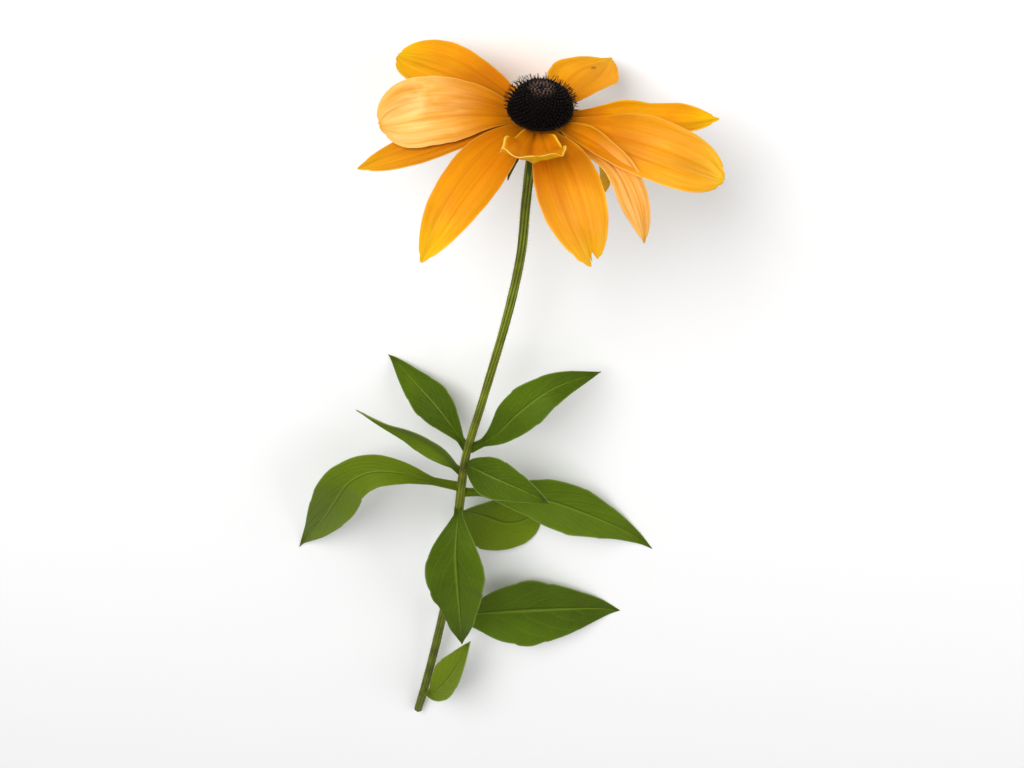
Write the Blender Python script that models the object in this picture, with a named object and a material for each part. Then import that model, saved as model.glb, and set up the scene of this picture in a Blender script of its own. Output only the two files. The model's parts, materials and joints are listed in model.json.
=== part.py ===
"""Black-eyed Susan: one cut flower lying on a table, in metres, +Z up.

The stem runs along Y with the bloom at its +Y end. The bloom faces +Y and a little up, its back rays
rest on the table at one end, and the cut end of the stem and the drooping leaves rest at the other.
"""
import math
import random

import bmesh
import bpy
import numpy as np

MM = 0.001

# Where the bloom sits: the middle of its ray circle, over the table, and how far its face tips up
BLOOM_CENTRE = np.array((17.06, 153.52, 49.0)) * MM
BLOOM_TILT = math.radians(16.0)

# Clearance between neighbouring solids
GAP = 0.3 * MM

# Seed head: a domed cone of dark florets
CONE_RADIUS = 10.8 * MM
CONE_RISE = 8.7 * MM
CONE_WAIST = 0.9 * MM
CONE_UNDER = 2.6 * MM
CONE_UNDER_ANGLE = math.radians(132.0)
# Florets in golden-angle order; the pits between them go down by half the relief, and the points
# stand up by the other half, and by the styles' height in the band that is in flower
FLORET_COUNT = 190
FLORET_RELIEF = 0.75 * MM
STYLE_EXTRA = 0.9 * MM
STYLE_BAND = (0.50, 0.72)
# A face of the cone that looks down more than this is its flat underside
UNDERSIDE = -0.97
GOLDEN_ANGLE = math.pi * (3.0 - math.sqrt(5.0))

# Ray florets, the petals
RAY_ROOT_RADIUS = 7.4 * MM
RAY_ROOT_HEIGHT = -2.9 * MM
RAY_THICKNESS = 0.7 * MM
RAY_HUB_RADIUS = 8.6 * MM
RAY_HUB_THICKNESS = 1.5 * MM
RAY_ROWS = 11
RAY_COLUMNS = 6
# Each ray: azimuth in degrees, 0 at +X and 90 towards the table; swing of its heading by the tip;
# length and width in mm; where it is widest; slopes at root, middle and tip in degrees; roll at
# root and tip in degrees; cup and fold as parts of its half width; notch as a part of its length;
# point
RAYS = (
    ("right", 9, -3, 54, 14, 0.66, (0, -6, 8), (0, 20), 0.15, 0.10, 0.00, 1.7),
    ("right_hanging", 20, -14, 43, 17, 0.60, (-16, -72, -84), (0, 0), 0.20, 0.00, 0.02, 2.2),
    ("back_right", 57, 9, 43, 24, 0.50, (14, -10, -14), (0, 0), 0.15, 0.00, 0.00, 1.35),
    ("back", 88, -8, 46, 20, 0.60, (-10, -36, -40), (0, 0), 0.15, 0.00, 0.02, 2.3),
    ("back_left", 116, -10, 46, 20, 0.60, (-8, -34, -38), (0, 0), 0.15, 0.00, 0.02, 2.3),
    ("left_high", 144, 6, 54, 20.5, 0.60, (8, -2, -12), (-12, -22), 0.10, 0.00, 0.01, 2.6),
    ("left", 178, 20, 47, 25, 0.60, (10, -2, -16), (-16, -38), 0.10, 0.00, 0.01, 2.8),
    ("left_low", 199, -8, 56, 15, 0.60, (-4, -14, -16), (-8, -8), 0.15, 0.00, 0.00, 1.8),
    ("front_left", 232, -2, 59, 19.5, 0.45, (4, -31, -46), (-10, -14), 0.15, 0.00, 0.01, 1.9),
    ("front", 264, 14, 36, 21, 0.60, (14, 18, 66), (0, 0), 0.05, 0.25, 0.00, 1.9),
    ("front_right", 287, 10, 52, 22, 0.50, (2, -23, -44), (8, 4), 0.12, 0.00, 0.05, 2.2),
    ("right_twisted", 329, -25, 52, 10, 0.68, (-3, -28, -77), (15, 47), 0.30, 0.20, 0.00, 1.6),
    ("right_low", 338, 12, 58, 24.5, 0.60, (2, -6, -22), (12, 20), 0.10, 0.00, 0.02, 2.5),
)
RAY_ROOT_WIDTH = 0.20
RAY_ROOT_RISE = 1.0
RAY_TIP_WIDTH = 0.12
RAY_NOTCH_REACH = 0.3
RAY_PLEAT = 0.05
# Half section of the hub that the rays stand on: parts of its radius and of its thickness
HUB_PROFILE = ((0.0, 0.5), (0.93, 0.5), (1.0, 0.3), (1.0, -0.3), (0.93, -0.5), (0.0, -0.5))
HUB_SIDES = 26

# Green cup under the rays with its turned-back bracts
CALYX_PROFILE = ((2.3, -9.4), (3.3, -8.4), (5.4, -6.8), (7.0, -5.2), (7.2, -3.95))
CALYX_SIDES = 16
BRACT_COUNT = 13
BRACT_LENGTH = 16.0 * MM
BRACT_WIDTH = 3.6 * MM
BRACT_THICKNESS = 0.7 * MM
BRACT_ROOT = (5.6 * MM, -6.2 * MM)
BRACT_SLOPES = (-30, -58, -78)
# The bract that shows beside the stem reaches further than the others
BRACT_LONGEST = 8
BRACT_LONGEST_SHARE = 1.32
BRACT_FIRST = 0.3
BRACT_SINK = 2.0 * MM
BRACT_FOLD = 0.25
BRACT_ROWS = 5
BRACT_COLUMNS = 2

# Stem axis from the bloom to the cut end: x and y from the bloom's centre, z over the table, in mm
STEM_LINE = (
    (-0.3, -9.75, 46.15), (-2.2, -20, 44.1), (-3.2, -37, 41.2), (-4.2, -60, 37.6), (-8.5, -90, 32.4),
    (-16.0, -128, 26.2), (-22.4, -160, 21.6), (-24.8, -190, 17.4), (-28.0, -230, 12.5),
    (-33.2, -268, 8.3), (-38.6, -300, 5.0), (-42.0, -318, 1.95),
)
STEM_RADII = ((0.0, 2.1), (0.04, 1.8), (0.45, 1.6), (0.56, 2.0), (0.62, 1.8), (0.82, 1.9), (1.0, 1.9))
STEM_RINGS = 52
STEM_SIDES = 12
STEM_RIB = 0.05

# Leaves: name; centre line in mm, given as the stem's axis is; direction the upper face looks;
# width in mm; where it is widest; cup as a part of its half width; edge wave in mm; waves; tip
# sharpness; roll towards the tip in degrees
LEAVES = (
    ("leaf_upper_right",
     ((-20.8, -155, 22.2), (-11, -146, 25.5), (-2.7, -134, 28), (6, -125.5, 27), (15, -121.8, 22.5),
      (29.7, -121, 13)),
     (-0.15, 0.45, 0.85), 17, 0.50, 0.20, 1.0, 1.5, 1.25, 0),
    ("leaf_upper_left",
     ((-21.4, -156, 22.1), (-28.3, -148, 18), (-36, -141, 12.5), (-46, -134, 5.5), (-56, -126, -1)),
     (0.1, 0.3, 0.95), 16, 0.50, 0.20, 0.6, 1.5, 1.3, 0),
    ("leaf_short_right",
     ((-22.9, -164, 21.0), (-19, -161, 27), (-10, -162, 32), (2, -166, 34), (12.5, -172, 33)),
     (-0.35, 0.5, 0.8), 17, 0.42, 0.20, 0.6, 1.0, 1.3, 0),
    ("leaf_long_right",
     ((-24.2, -179, 18.9), (-14.6, -177.5, 20), (-4.6, -178.6, 19), (11.5, -183.8, 15),
      (29, -194.5, 8.5), (45, -205.5, 3), (59.3, -217, -1.5)),
     (0.1, 0.4, 0.9), 22, 0.50, 0.22, 1.2, 2.0, 1.2, 0),
    ("leaf_under_right",
     ((-24.9, -191, 17.3), (-20.5, -195.5, 10.5), (-14, -203, 3.5), (-6, -207.5, 0.5), (2, -206, -0.5),
      (9.5, -199, -1)),
     (0.2, 0.1, 1.0), 29, 0.52, 0.12, 0.7, 1.5, 1.7, 0),
    ("leaf_front",
     ((-24.6, -187, 17.8), (-24.8, -190, 26), (-25, -204, 32), (-22.8, -232, 31), (-21.3, -257, 24)),
     (-0.1, 0.25, 1.0), 26, 0.40, 0.15, 1.3, 2.5, 1.25, 0),
    ("leaf_left",
     ((-24.3, -176, 19.3), (-36.8, -171, 23), (-47, -165.4, 27), (-59.6, -164, 29),
      (-69.5, -171, 28), (-77, -187, 21.5), (-85.2, -206.6, 11), (-95.5, -226.8, -1.5)),
     (0.1, 0.55, 0.8), 20, 0.55, 0.15, 0.8, 1.5, 1.25, 0),
    ("leaf_narrow_left",
     ((-23.4, -168, 20.5), (-29.1, -160.5, 24), (-34.7, -155, 25), (-43.9, -149, 25),
      (-54.5, -145, 24), (-66.7, -140.2, 21)),
     (-0.1, 0.3, 0.9), 11, 0.45, 0.20, 0.4, 1.0, 1.3, -70),
    ("leaf_lower_right",
     ((-31.0, -253, 10.0), (-20, -251.5, 10.5), (2, -250.5, 8), (28, -251, 3.2), (48, -252.7, -1.5)),
     (0.1, 0.1, 1.0), 36, 0.50, 0.14, 0.8, 1.5, 1.35, 0),
    ("leaf_lowest",
     ((-39.2, -303, 4.6), (-35.1, -300.3, 10), (-29, -289.4, 14), (-23.4, -276.3, 16), (-18, -261.3, 17)),
     (-0.6, 0.5, 0.6), 17, 0.48, 0.30, 0.4, 1.0, 1.4, 0),
)
LEAF_THICKNESS = 0.7 * MM
LEAF_BASE_WIDTH = 4.0 * MM
LEAF_ROWS = 13
LEAF_COLUMNS = 6
LEAF_RIB_HOLLOW = 0.6 * MM
# One edge of a leaf waves this far ahead of the other, in radians
LEAF_WAVE_LEAD = 1.3

# Steps along a blade's centre line, and between two chosen points of a smooth curve
LINE_STEPS = 48
CURVE_STEPS = 24

# How gently a blade that reaches the table bends to lie on it
SETTLE_SOFTNESS = 0.5 * MM

PETAL_COLOUR = (0.88, 0.33, 0.012, 1.0)
CONE_COLOUR = (0.012, 0.008, 0.009, 1.0)
STEM_COLOUR = (0.12, 0.14, 0.012, 1.0)
CALYX_COLOUR = (0.10, 0.15, 0.015, 1.0)
LEAF_COLOUR = (0.085, 0.15, 0.012, 1.0)


def clear_scene():
    for thing in list(bpy.data.objects):
        bpy.data.objects.remove(thing, do_unlink=True)


def surface(name, colour, roughness):
    """A plain Principled material."""
    material = bpy.data.materials.new(name)
    material.use_nodes = True
    shader = material.node_tree.nodes["Principled BSDF"]
    shader.inputs["Base Color"].default_value = colour
    shader.inputs["Roughness"].default_value = roughness
    shader.inputs["Metallic"].default_value = 0.0
    material.diffuse_color = colour
    return material


def unit(vectors):
    """Vectors scaled to length 1, along the last axis."""
    return vectors / np.linalg.norm(vectors, axis=-1, keepdims=True)


def bloom_axes():
    """The bloom's own X, its direction towards the table, and its facing direction."""
    sine = math.sin(BLOOM_TILT)
    cosine = math.cos(BLOOM_TILT)
    return np.array(((1.0, 0.0, 0.0), (0.0, sine, -cosine), (0.0, cosine, sine)))


def from_bloom(points):
    """Points in the bloom's own axes, moved to their place over the table."""
    return np.asarray(points) @ bloom_axes() + BLOOM_CENTRE


def on_table(points_mm):
    """Hand-chosen points, x and y from the bloom's centre in mm, as places in metres."""
    shift = np.array((BLOOM_CENTRE[0], BLOOM_CENTRE[1], 0.0))
    return np.array(points_mm, dtype=float) * MM + shift


def smooth_line(points, count):
    """Catmull-Rom curve through the points, sampled at even steps of its length."""
    first = 2 * points[0] - points[1]
    last = 2 * points[-1] - points[-2]
    knots = np.vstack((first, points, last))
    fine = []
    for index in range(1, len(knots) - 2):
        before, start, end, after = knots[index - 1:index + 3]
        for step in np.linspace(0.0, 1.0, CURVE_STEPS, endpoint=False):
            fine.append(0.5 * (2 * start + (end - before) * step
                               + (2 * before - 5 * start + 4 * end - after) * step ** 2
                               + (3 * start - before - 3 * end + after) * step ** 3))
    fine.append(knots[-2])
    return even_steps(np.array(fine), count)


def even_steps(line, count):
    """A line of points resampled at even steps of its length."""
    lengths = np.linalg.norm(np.diff(line, axis=0), axis=1)
    along = np.concatenate(((0.0,), np.cumsum(lengths)))
    wanted = np.linspace(0.0, along[-1], count)
    return np.stack([np.interp(wanted, along, line[:, axis]) for axis in range(3)], axis=1)


def outline(along, widest, root, rise, point):
    """Half width from 0 to 1 along a blade: narrow root, widest part, then a rounded point."""
    if along < widest:
        return root + (1.0 - root) * math.sin(0.5 * math.pi * along / widest) ** rise
    return max(1.0 - ((along - widest) / (1.0 - widest)) ** point, 0.0) ** min(1.0, 1.5 / point)


def row_places(rows):
    """Places along a blade, closer together towards its tip."""
    return 1.0 - (1.0 - np.linspace(0.0, 1.0, rows + 1)) ** 1.3


def settled(grid, thickness):
    """Bend what would sink through the table so that it lies on it."""
    lowest = 0.5 * thickness
    height = (grid[..., 2] - lowest) / SETTLE_SOFTNESS
    grid[..., 2] = lowest + SETTLE_SOFTNESS * np.logaddexp(0.0, height)
    return grid


def grid_normals(grid):
    """Unit normals of a grid of points; rows run along the blade, columns across it."""
    along = np.gradient(grid, axis=0)
    across = np.gradient(grid, axis=1)
    return unit(np.cross(along, across))


def mesh_object(name, vertices, faces, material):
    """A linked object from plain lists."""
    mesh = bpy.data.meshes.new(name)
    mesh.from_pydata([tuple(vertex) for vertex in vertices], [], faces)
    mesh.update()
    mesh.materials.append(material)
    thing = bpy.data.objects.new(name, mesh)
    bpy.context.scene.collection.objects.link(thing)
    return thing


def blade(name, grid, thickness, material):
    """A thin closed solid round a grid of mid-surface points, split alike on both faces."""
    rows, columns = grid.shape[:2]
    offset = grid_normals(grid) * 0.5 * thickness
    vertices = np.concatenate(((grid + offset).reshape(-1, 3), (grid - offset).reshape(-1, 3)))
    half = rows * columns
    faces = []
    for row in range(rows - 1):
        for column in range(columns - 1):
            a = row * columns + column
            b = a + 1
            c = a + columns + 1
            d = a + columns
            left = column < (columns - 1) // 2
            halves = ((a, b, c), (a, c, d)) if left else ((a, b, d), (b, c, d))
            for triangle in halves:
                faces.append(triangle[::-1])
                faces.append(tuple(corner + half for corner in triangle))
    edge = list(range(columns))
    edge += [row * columns + columns - 1 for row in range(1, rows)]
    edge += [(rows - 1) * columns + column for column in range(columns - 2, -1, -1)]
    edge += [row * columns for row in range(rows - 2, 0, -1)]
    for index, corner in enumerate(edge):
        following = edge[(index + 1) % len(edge)]
        faces.append((corner, following, following + half))
        faces.append((corner, following + half, corner + half))
    thing = mesh_object(name, vertices, faces, material)
    turn_outwards(thing)
    return thing


def turn_outwards(thing):
    """Make every face of a closed solid look outwards."""
    shape = bmesh.new()
    shape.from_mesh(thing.data)
    bmesh.ops.recalc_face_normals(shape, faces=shape.faces)
    shape.to_mesh(thing.data)
    shape.free()


def union(name, things):
    """Join solids that grow from one another into one body."""
    body = things[0]
    others = bpy.data.collections.new(name + "_pieces")
    bpy.context.scene.collection.children.link(others)
    for thing in things[1:]:
        bpy.context.scene.collection.objects.unlink(thing)
        others.objects.link(thing)
    join = body.modifiers.new("join", "BOOLEAN")
    join.operation = "UNION"
    join.operand_type = "COLLECTION"
    join.collection = others
    join.solver = "EXACT"
    apply_modifiers(body)
    for thing in things[1:]:
        bpy.data.objects.remove(thing, do_unlink=True)
    bpy.data.collections.remove(others)
    body.name = name
    body.data.name = name
    return body


def apply_modifiers(thing):
    """Keep the evaluated mesh and drop the modifiers."""
    graph = bpy.context.evaluated_depsgraph_get()
    mesh = bpy.data.meshes.new_from_object(thing.evaluated_get(graph))
    thing.modifiers.clear()
    thing.data = mesh


def ray_line(azimuth, swing, length, slopes):
    """Centre line of a ray in the bloom's axes, with its headings."""
    root, middle, tip = (math.radians(slope) for slope in slopes)
    points = [np.array((RAY_ROOT_RADIUS * math.cos(azimuth), RAY_ROOT_RADIUS * math.sin(azimuth),
                        RAY_ROOT_HEIGHT))]
    for step in range(LINE_STEPS):
        part = (step + 0.5) / LINE_STEPS
        slope = (root * (1 - part) * (1 - 2 * part) + 4 * middle * part * (1 - part)
                 + tip * part * (2 * part - 1))
        heading = azimuth + swing * part
        points.append(points[-1] + length / LINE_STEPS * np.array(
            (math.cos(slope) * math.cos(heading), math.cos(slope) * math.sin(heading),
             math.sin(slope))))
    return np.array(points)


def ray_grid(ray):
    """Mid surface of one ray over the table."""
    _, azimuth, swing, length, width, widest, slopes, rolls, cup, fold, notch, point = ray
    line = ray_line(math.radians(azimuth), math.radians(swing), length * MM, slopes)
    places = row_places(RAY_ROWS)
    rolls = np.radians(rolls)
    grid = []
    for place in places:
        form = outline(place, widest, RAY_ROOT_WIDTH, RAY_ROOT_RISE, point)
        half = 0.5 * width * MM * max(form, RAY_TIP_WIDTH)
        row = []
        for across in np.linspace(-1.0, 1.0, RAY_COLUMNS + 1):
            reach = place - notch * math.exp(-(across / RAY_NOTCH_REACH) ** 2) * place ** 6
            centre, forward = point_on(line, reach)
            side, face = ray_sides(forward, rolls[0] + (rolls[1] - rolls[0]) * place)
            pleat = -RAY_PLEAT * math.cos(3.0 * math.pi * across) * (1 - place)
            lift = half * (cup * across ** 2 + fold * abs(across) + pleat)
            row.append(centre + side * half * across + face * lift)
        grid.append(row)
    return settled(from_bloom(grid), RAY_THICKNESS)


def point_on(line, place):
    """Point and direction at a part of a line's length."""
    where = min(max(place, 0.0), 1.0) * (len(line) - 1)
    index = min(int(where), len(line) - 2)
    part = where - index
    ahead = line[index + 1] - line[index]
    return line[index] + ahead * part, unit(ahead)


def ray_sides(forward, roll):
    """Side and face directions of a ray's cross-section."""
    up = np.array((0.0, 0.0, 1.0))
    outward = np.array((forward[0], forward[1], 0.0))
    side = unit(np.cross(up, unit(outward)))
    face = np.cross(forward, side)
    turned = side * math.cos(roll) + face * math.sin(roll)
    return turned, np.cross(forward, turned)


def make_rays(material):
    """All ray florets grown together on the rim of the receptacle."""
    profile = [(radius * RAY_HUB_RADIUS, RAY_ROOT_HEIGHT + height * RAY_HUB_THICKNESS)
               for radius, height in HUB_PROFILE]
    hub = turned("ray_petals", profile, HUB_SIDES, material)
    rays = [blade("ray_" + ray[0], ray_grid(ray), RAY_THICKNESS, material) for ray in RAYS]
    return union("ray_petals", [hub] + rays)


def turned(name, profile, sides, material):
    """A solid turned about the bloom's axis from a profile of radius and height."""
    vertices = []
    rings = []
    for radius, height in profile:
        if radius == 0.0:
            rings.append([len(vertices)])
            vertices.append((0.0, 0.0, height))
            continue
        rings.append(list(range(len(vertices), len(vertices) + sides)))
        for side in range(sides):
            angle = 2 * math.pi * side / sides
            vertices.append((radius * math.cos(angle), radius * math.sin(angle), height))
    faces = []
    for ring, following in zip(rings, rings[1:]):
        for side in range(sides):
            step = (side + 1) % sides
            corners = [ring[side % len(ring)], ring[step % len(ring)],
                       following[step % len(following)], following[side % len(following)]]
            faces.append(tuple(dict.fromkeys(corners)))
    for ring in (rings[0], rings[-1]):
        if len(ring) > 1:
            faces.append(tuple(ring))
    thing = mesh_object(name, from_bloom(vertices), faces, material)
    turn_outwards(thing)
    return thing


def make_cone(material):
    """The dome of florets: one raised point for each floret, in a golden-angle spiral."""
    bottom = math.cos(CONE_UNDER_ANGLE)
    shape = bmesh.new()
    florets = []
    for index in range(FLORET_COUNT):
        part = (index + 0.5) / FLORET_COUNT
        cosine = 1.0 + (bottom - 1.0) * part
        sine = math.sqrt(1.0 - cosine ** 2)
        angle = index * GOLDEN_ANGLE
        rise = CONE_RISE if cosine > 0 else CONE_UNDER
        place = np.array((CONE_RADIUS * sine * math.cos(angle), CONE_RADIUS * sine * math.sin(angle),
                          CONE_WAIST + rise * cosine))
        florets.append((shape.verts.new(place), part))
    bmesh.ops.convex_hull(shape, input=shape.verts)
    bmesh.ops.recalc_face_normals(shape, faces=shape.faces)
    shape.normal_update()
    bmesh.ops.triangulate(shape, faces=shape.faces)
    sides = [face for face in shape.faces if face.normal.z > UNDERSIDE]
    pits = bmesh.ops.poke(shape, faces=sides)["verts"]
    shape.normal_update()
    for pit in pits:
        pit.co -= pit.normal * 0.5 * FLORET_RELIEF
    for floret, part in florets:
        height = FLORET_RELIEF * 0.5
        if STYLE_BAND[0] ** 2 < part < STYLE_BAND[1] ** 2:
            height += STYLE_EXTRA
        floret.co += floret.normal * height
    mesh = bpy.data.meshes.new("cone")
    for vertex in shape.verts:
        vertex.co = from_bloom(vertex.co)
    shape.to_mesh(mesh)
    shape.free()
    mesh.materials.append(material)
    thing = bpy.data.objects.new("cone", mesh)
    bpy.context.scene.collection.objects.link(thing)
    return thing


def make_calyx(material, chance):
    """The green cup under the rays, with its turned-back bracts grown from it."""
    profile = [(radius * MM, height * MM) for radius, height in CALYX_PROFILE]
    things = [turned("calyx", profile, CALYX_SIDES, material)]
    for index in range(BRACT_COUNT):
        azimuth = 2 * math.pi * (index + BRACT_FIRST) / BRACT_COUNT + chance.uniform(-0.08, 0.08)
        length = BRACT_LENGTH * chance.uniform(0.85, 1.08)
        length *= BRACT_LONGEST_SHARE if index == BRACT_LONGEST else 1.0
        slopes = [math.radians(slope + chance.uniform(-6, 6)) for slope in BRACT_SLOPES]
        things.append(blade("bract", bract_grid(azimuth, length, slopes), BRACT_THICKNESS, material))
    return union("calyx", things)


def bract_grid(azimuth, length, slopes):
    """Mid surface of one bract."""
    radius, height = BRACT_ROOT
    outward = np.array((math.cos(azimuth), math.sin(azimuth), 0.0))
    side = np.array((-math.sin(azimuth), math.cos(azimuth), 0.0))
    up = np.array((0.0, 0.0, 1.0))
    place = outward * (radius - BRACT_SINK) + up * height
    grid = []
    for row in range(BRACT_ROWS + 1):
        part = row / BRACT_ROWS
        slope = np.interp(part, (0.0, 0.5, 1.0), slopes)
        half = 0.5 * BRACT_WIDTH * max(outline(part, 0.4, 0.8, 1.0, 1.5), 0.14)
        across = np.linspace(-1.0, 1.0, BRACT_COLUMNS + 1)
        grid.append([place + side * half * step - up * BRACT_FOLD * half * abs(step)
                     for step in across])
        place = place + length / BRACT_ROWS * (outward * math.cos(slope) + up * math.sin(slope))
    return from_bloom(grid)


def stem_rings(extra):
    """Rings of points round the stem's axis, with shallow ribs; extra widens them."""
    line = smooth_line(on_table(STEM_LINE), STEM_RINGS)
    forward = unit(np.gradient(line, axis=0))
    side = unit(np.cross(forward, np.array((0.0, 0.0, 1.0))))
    up = np.cross(side, forward)
    places = np.linspace(0.0, 1.0, STEM_RINGS)
    radii = np.interp(places, *zip(*STEM_RADII)) * MM + extra
    rings = []
    for index in range(STEM_RINGS):
        for corner in range(STEM_SIDES):
            angle = 2 * math.pi * corner / STEM_SIDES
            rib = 1.0 + STEM_RIB * (1 if corner % 2 else -1)
            rings.append(line[index] + radii[index] * rib * (side[index] * math.cos(angle)
                                                              + up[index] * math.sin(angle)))
    return np.array(rings)


def make_stem(name, extra, material):
    """The ribbed stem as a closed tube, flat where it rests on the table."""
    points = stem_rings(extra)
    if extra == 0.0:
        points[:, 2] = np.maximum(points[:, 2], 0.0)
    faces = [tuple(range(STEM_SIDES))]
    for ring in range(STEM_RINGS - 1):
        for corner in range(STEM_SIDES):
            a = ring * STEM_SIDES + corner
            b = ring * STEM_SIDES + (corner + 1) % STEM_SIDES
            faces.append((a, b, b + STEM_SIDES, a + STEM_SIDES))
    last = (STEM_RINGS - 1) * STEM_SIDES
    faces.append(tuple(range(last + STEM_SIDES - 1, last - 1, -1)))
    thing = mesh_object(name, points, faces, material)
    turn_outwards(thing)
    return thing


def leaf_grid(leaf):
    """Mid surface of one leaf, bent to lie on the table where it droops to it."""
    _, points, face_hint, width, widest, cup, wave, waves, point, roll = leaf
    line = smooth_line(on_table(points), LINE_STEPS)
    places = row_places(LEAF_ROWS)
    grid = []
    for place in places:
        centre, forward = point_on(line, place)
        side = unit(np.cross(np.array(face_hint), forward))
        face = np.cross(forward, side)
        turn = math.radians(roll) * place
        side = side * math.cos(turn) + face * math.sin(turn)
        face = np.cross(forward, side)
        half = 0.5 * width * MM * outline(place, widest, 0.0, 1.5, point)
        half = max(half, 0.5 * LEAF_BASE_WIDTH * (1 - place) ** 2, 0.5 * MM)
        row = []
        for across in np.linspace(-1.0, 1.0, LEAF_COLUMNS + 1):
            phase = 2 * math.pi * waves * place + (LEAF_WAVE_LEAD if across > 0 else 0.0)
            ruffle = wave * MM * across ** 2 * math.sin(phase) * math.sin(math.pi * place)
            hollow = -LEAF_RIB_HOLLOW * (1 - abs(across)) ** 2 * math.sin(math.pi * place)
            lift = half * cup * across ** 2 + ruffle + hollow
            row.append(centre + side * half * across + face * lift)
        grid.append(row)
    return settled(np.array(grid), LEAF_THICKNESS)


def make_leaf(leaf, clearance, material):
    """One leaf, cut back to clear the stem that it grows from."""
    thing = blade(leaf[0], leaf_grid(leaf), LEAF_THICKNESS, material)
    cut = thing.modifiers.new("stem clearance", "BOOLEAN")
    cut.operation = "DIFFERENCE"
    cut.object = clearance
    cut.solver = "EXACT"
    apply_modifiers(thing)
    keep_largest(thing)
    return thing


def keep_largest(thing):
    """Drop any scrap of a blade's root that the cut left on the far side of the stem."""
    shape = bmesh.new()
    shape.from_mesh(thing.data)
    waiting = set(shape.verts)
    islands = []
    while waiting:
        island = {waiting.pop()}
        edge = list(island)
        while edge:
            vertex = edge.pop()
            found = {link.other_vert(vertex) for link in vertex.link_edges} & waiting
            waiting -= found
            island |= found
            edge.extend(found)
        islands.append(island)
    largest = max(islands, key=len)
    scraps = [vertex for island in islands if island is not largest for vertex in island]
    bmesh.ops.delete(shape, geom=scraps, context="VERTS")
    shape.to_mesh(thing.data)
    shape.free()


def main():
    clear_scene()
    chance = random.Random(7)
    make_cone(surface("cone_dark", CONE_COLOUR, 0.7))
    make_rays(surface("petal_orange", PETAL_COLOUR, 0.5))
    make_calyx(surface("calyx_green", CALYX_COLOUR, 0.7), chance)
    green = surface("stem_green", STEM_COLOUR, 0.6)
    make_stem("stem", 0.0, green)
    clearance = make_stem("stem_clearance", GAP, green)
    clearance.hide_render = True
    clearance.display_type = "WIRE"
    for leaf in LEAVES:
        make_leaf(leaf, clearance, surface(leaf[0] + "_green", LEAF_COLOUR, 0.6))


main()
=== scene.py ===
"""Black-eyed Susan, one cut flower lying on a table: petals, seed head, calyx, stem, leaves and hairs.

Everything is in metres, +Z up. The construction's frame is loaded first, and the pieces made here stand
where its nodes stand, from the same centre lines and sizes.
"""

import json
import math
import random

import bpy
import numpy as np
from mathutils import Matrix, Vector

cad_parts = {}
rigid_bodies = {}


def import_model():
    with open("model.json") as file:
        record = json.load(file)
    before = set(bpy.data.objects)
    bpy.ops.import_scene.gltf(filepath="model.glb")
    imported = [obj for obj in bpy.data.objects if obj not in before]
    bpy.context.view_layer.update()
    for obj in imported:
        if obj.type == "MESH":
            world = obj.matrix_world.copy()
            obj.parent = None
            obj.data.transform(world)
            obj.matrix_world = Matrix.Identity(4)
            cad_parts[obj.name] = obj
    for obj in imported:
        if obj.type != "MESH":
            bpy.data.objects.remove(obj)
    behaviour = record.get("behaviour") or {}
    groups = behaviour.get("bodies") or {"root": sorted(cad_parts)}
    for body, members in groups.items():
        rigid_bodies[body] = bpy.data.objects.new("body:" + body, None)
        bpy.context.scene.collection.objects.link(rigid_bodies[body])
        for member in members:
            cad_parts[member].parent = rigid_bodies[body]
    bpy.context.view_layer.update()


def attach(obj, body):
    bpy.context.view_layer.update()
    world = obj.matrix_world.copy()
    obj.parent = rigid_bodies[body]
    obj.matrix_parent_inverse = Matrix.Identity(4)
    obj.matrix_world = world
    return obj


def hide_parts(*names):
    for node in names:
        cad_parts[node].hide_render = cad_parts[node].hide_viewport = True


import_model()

bl_info = {
    "name": "Black-eyed Susan flower",
    "version": (1, 0, 0),
    "blender": (4, 5, 0),
    "location": "View3D > Sidebar > Flower",
    "description": "One cut black-eyed Susan with petals, seed head, calyx, ribbed stem, leaves and hairs",
    "category": "Add Mesh",
}

MM = 0.001

# Where the bloom sits: the middle of its ray circle, over the table, and how far its face tips up
BLOOM_CENTRE = np.array((17.06, 153.52, 49.0)) * MM
BLOOM_TILT = math.radians(16.0)

# Seed head: a domed cone of dark florets in a golden-angle spiral
CONE_RADIUS = 10.8 * MM
CONE_RISE = 9.2 * MM
CONE_WAIST = 0.9 * MM
CONE_UNDER = 2.6 * MM
CONE_UNDER_ANGLE = math.radians(132.0)
CONE_CORE_SHARE = 0.955
FLORET_COUNT = 820
# Parts of the florets, counted from the apex: those with styles in flower, and the closed buds
STYLE_BAND = (0.20, 0.50)
APEX_SHARE = 0.085
FLORET_SINK = 0.9 * MM
WITHERED_SHARE = 0.28
APEX_DIMPLE = 0.7 * MM
APEX_REACH = 0.004
APEX_EDGE = (0.65, 1.30)
# Width, share of the full height and lean of a closed bud at the apex, and of a floret
BUD_SIZE = (1.05 * MM, 0.85, 0.05)
FLORET_SIZE = (1.0 * MM, 1.0, 0.26)
FLORET_HEIGHTS = (0.4, 1.6)
FLORET_WIDTHS = (0.85, 1.15)
STYLE_LENGTHS = (0.60, 1.15)
STYLE_WIDTH = 0.85 * MM
GOLDEN_ANGLE = math.pi * (3.0 - math.sqrt(5.0))
# Closed floret and style, drawn up from a small disc: sides and radius of the disc; each step's rise,
# move sideways and change of width, as parts of the finished height; whether it forks
BUD_FORM = (6, 0.32, ((0.45, 0.0, 1.5), (0.33, 0.0, 0.72), (0.22, 0.0, 0.22)))
STYLE_FORM = (4, 0.11, ((0.45, 0.03, 0.75), (0.30, 0.10, 1.1), (0.15, 0.20, 0.8), (0.10, 0.24, 0.35)), True)

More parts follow.
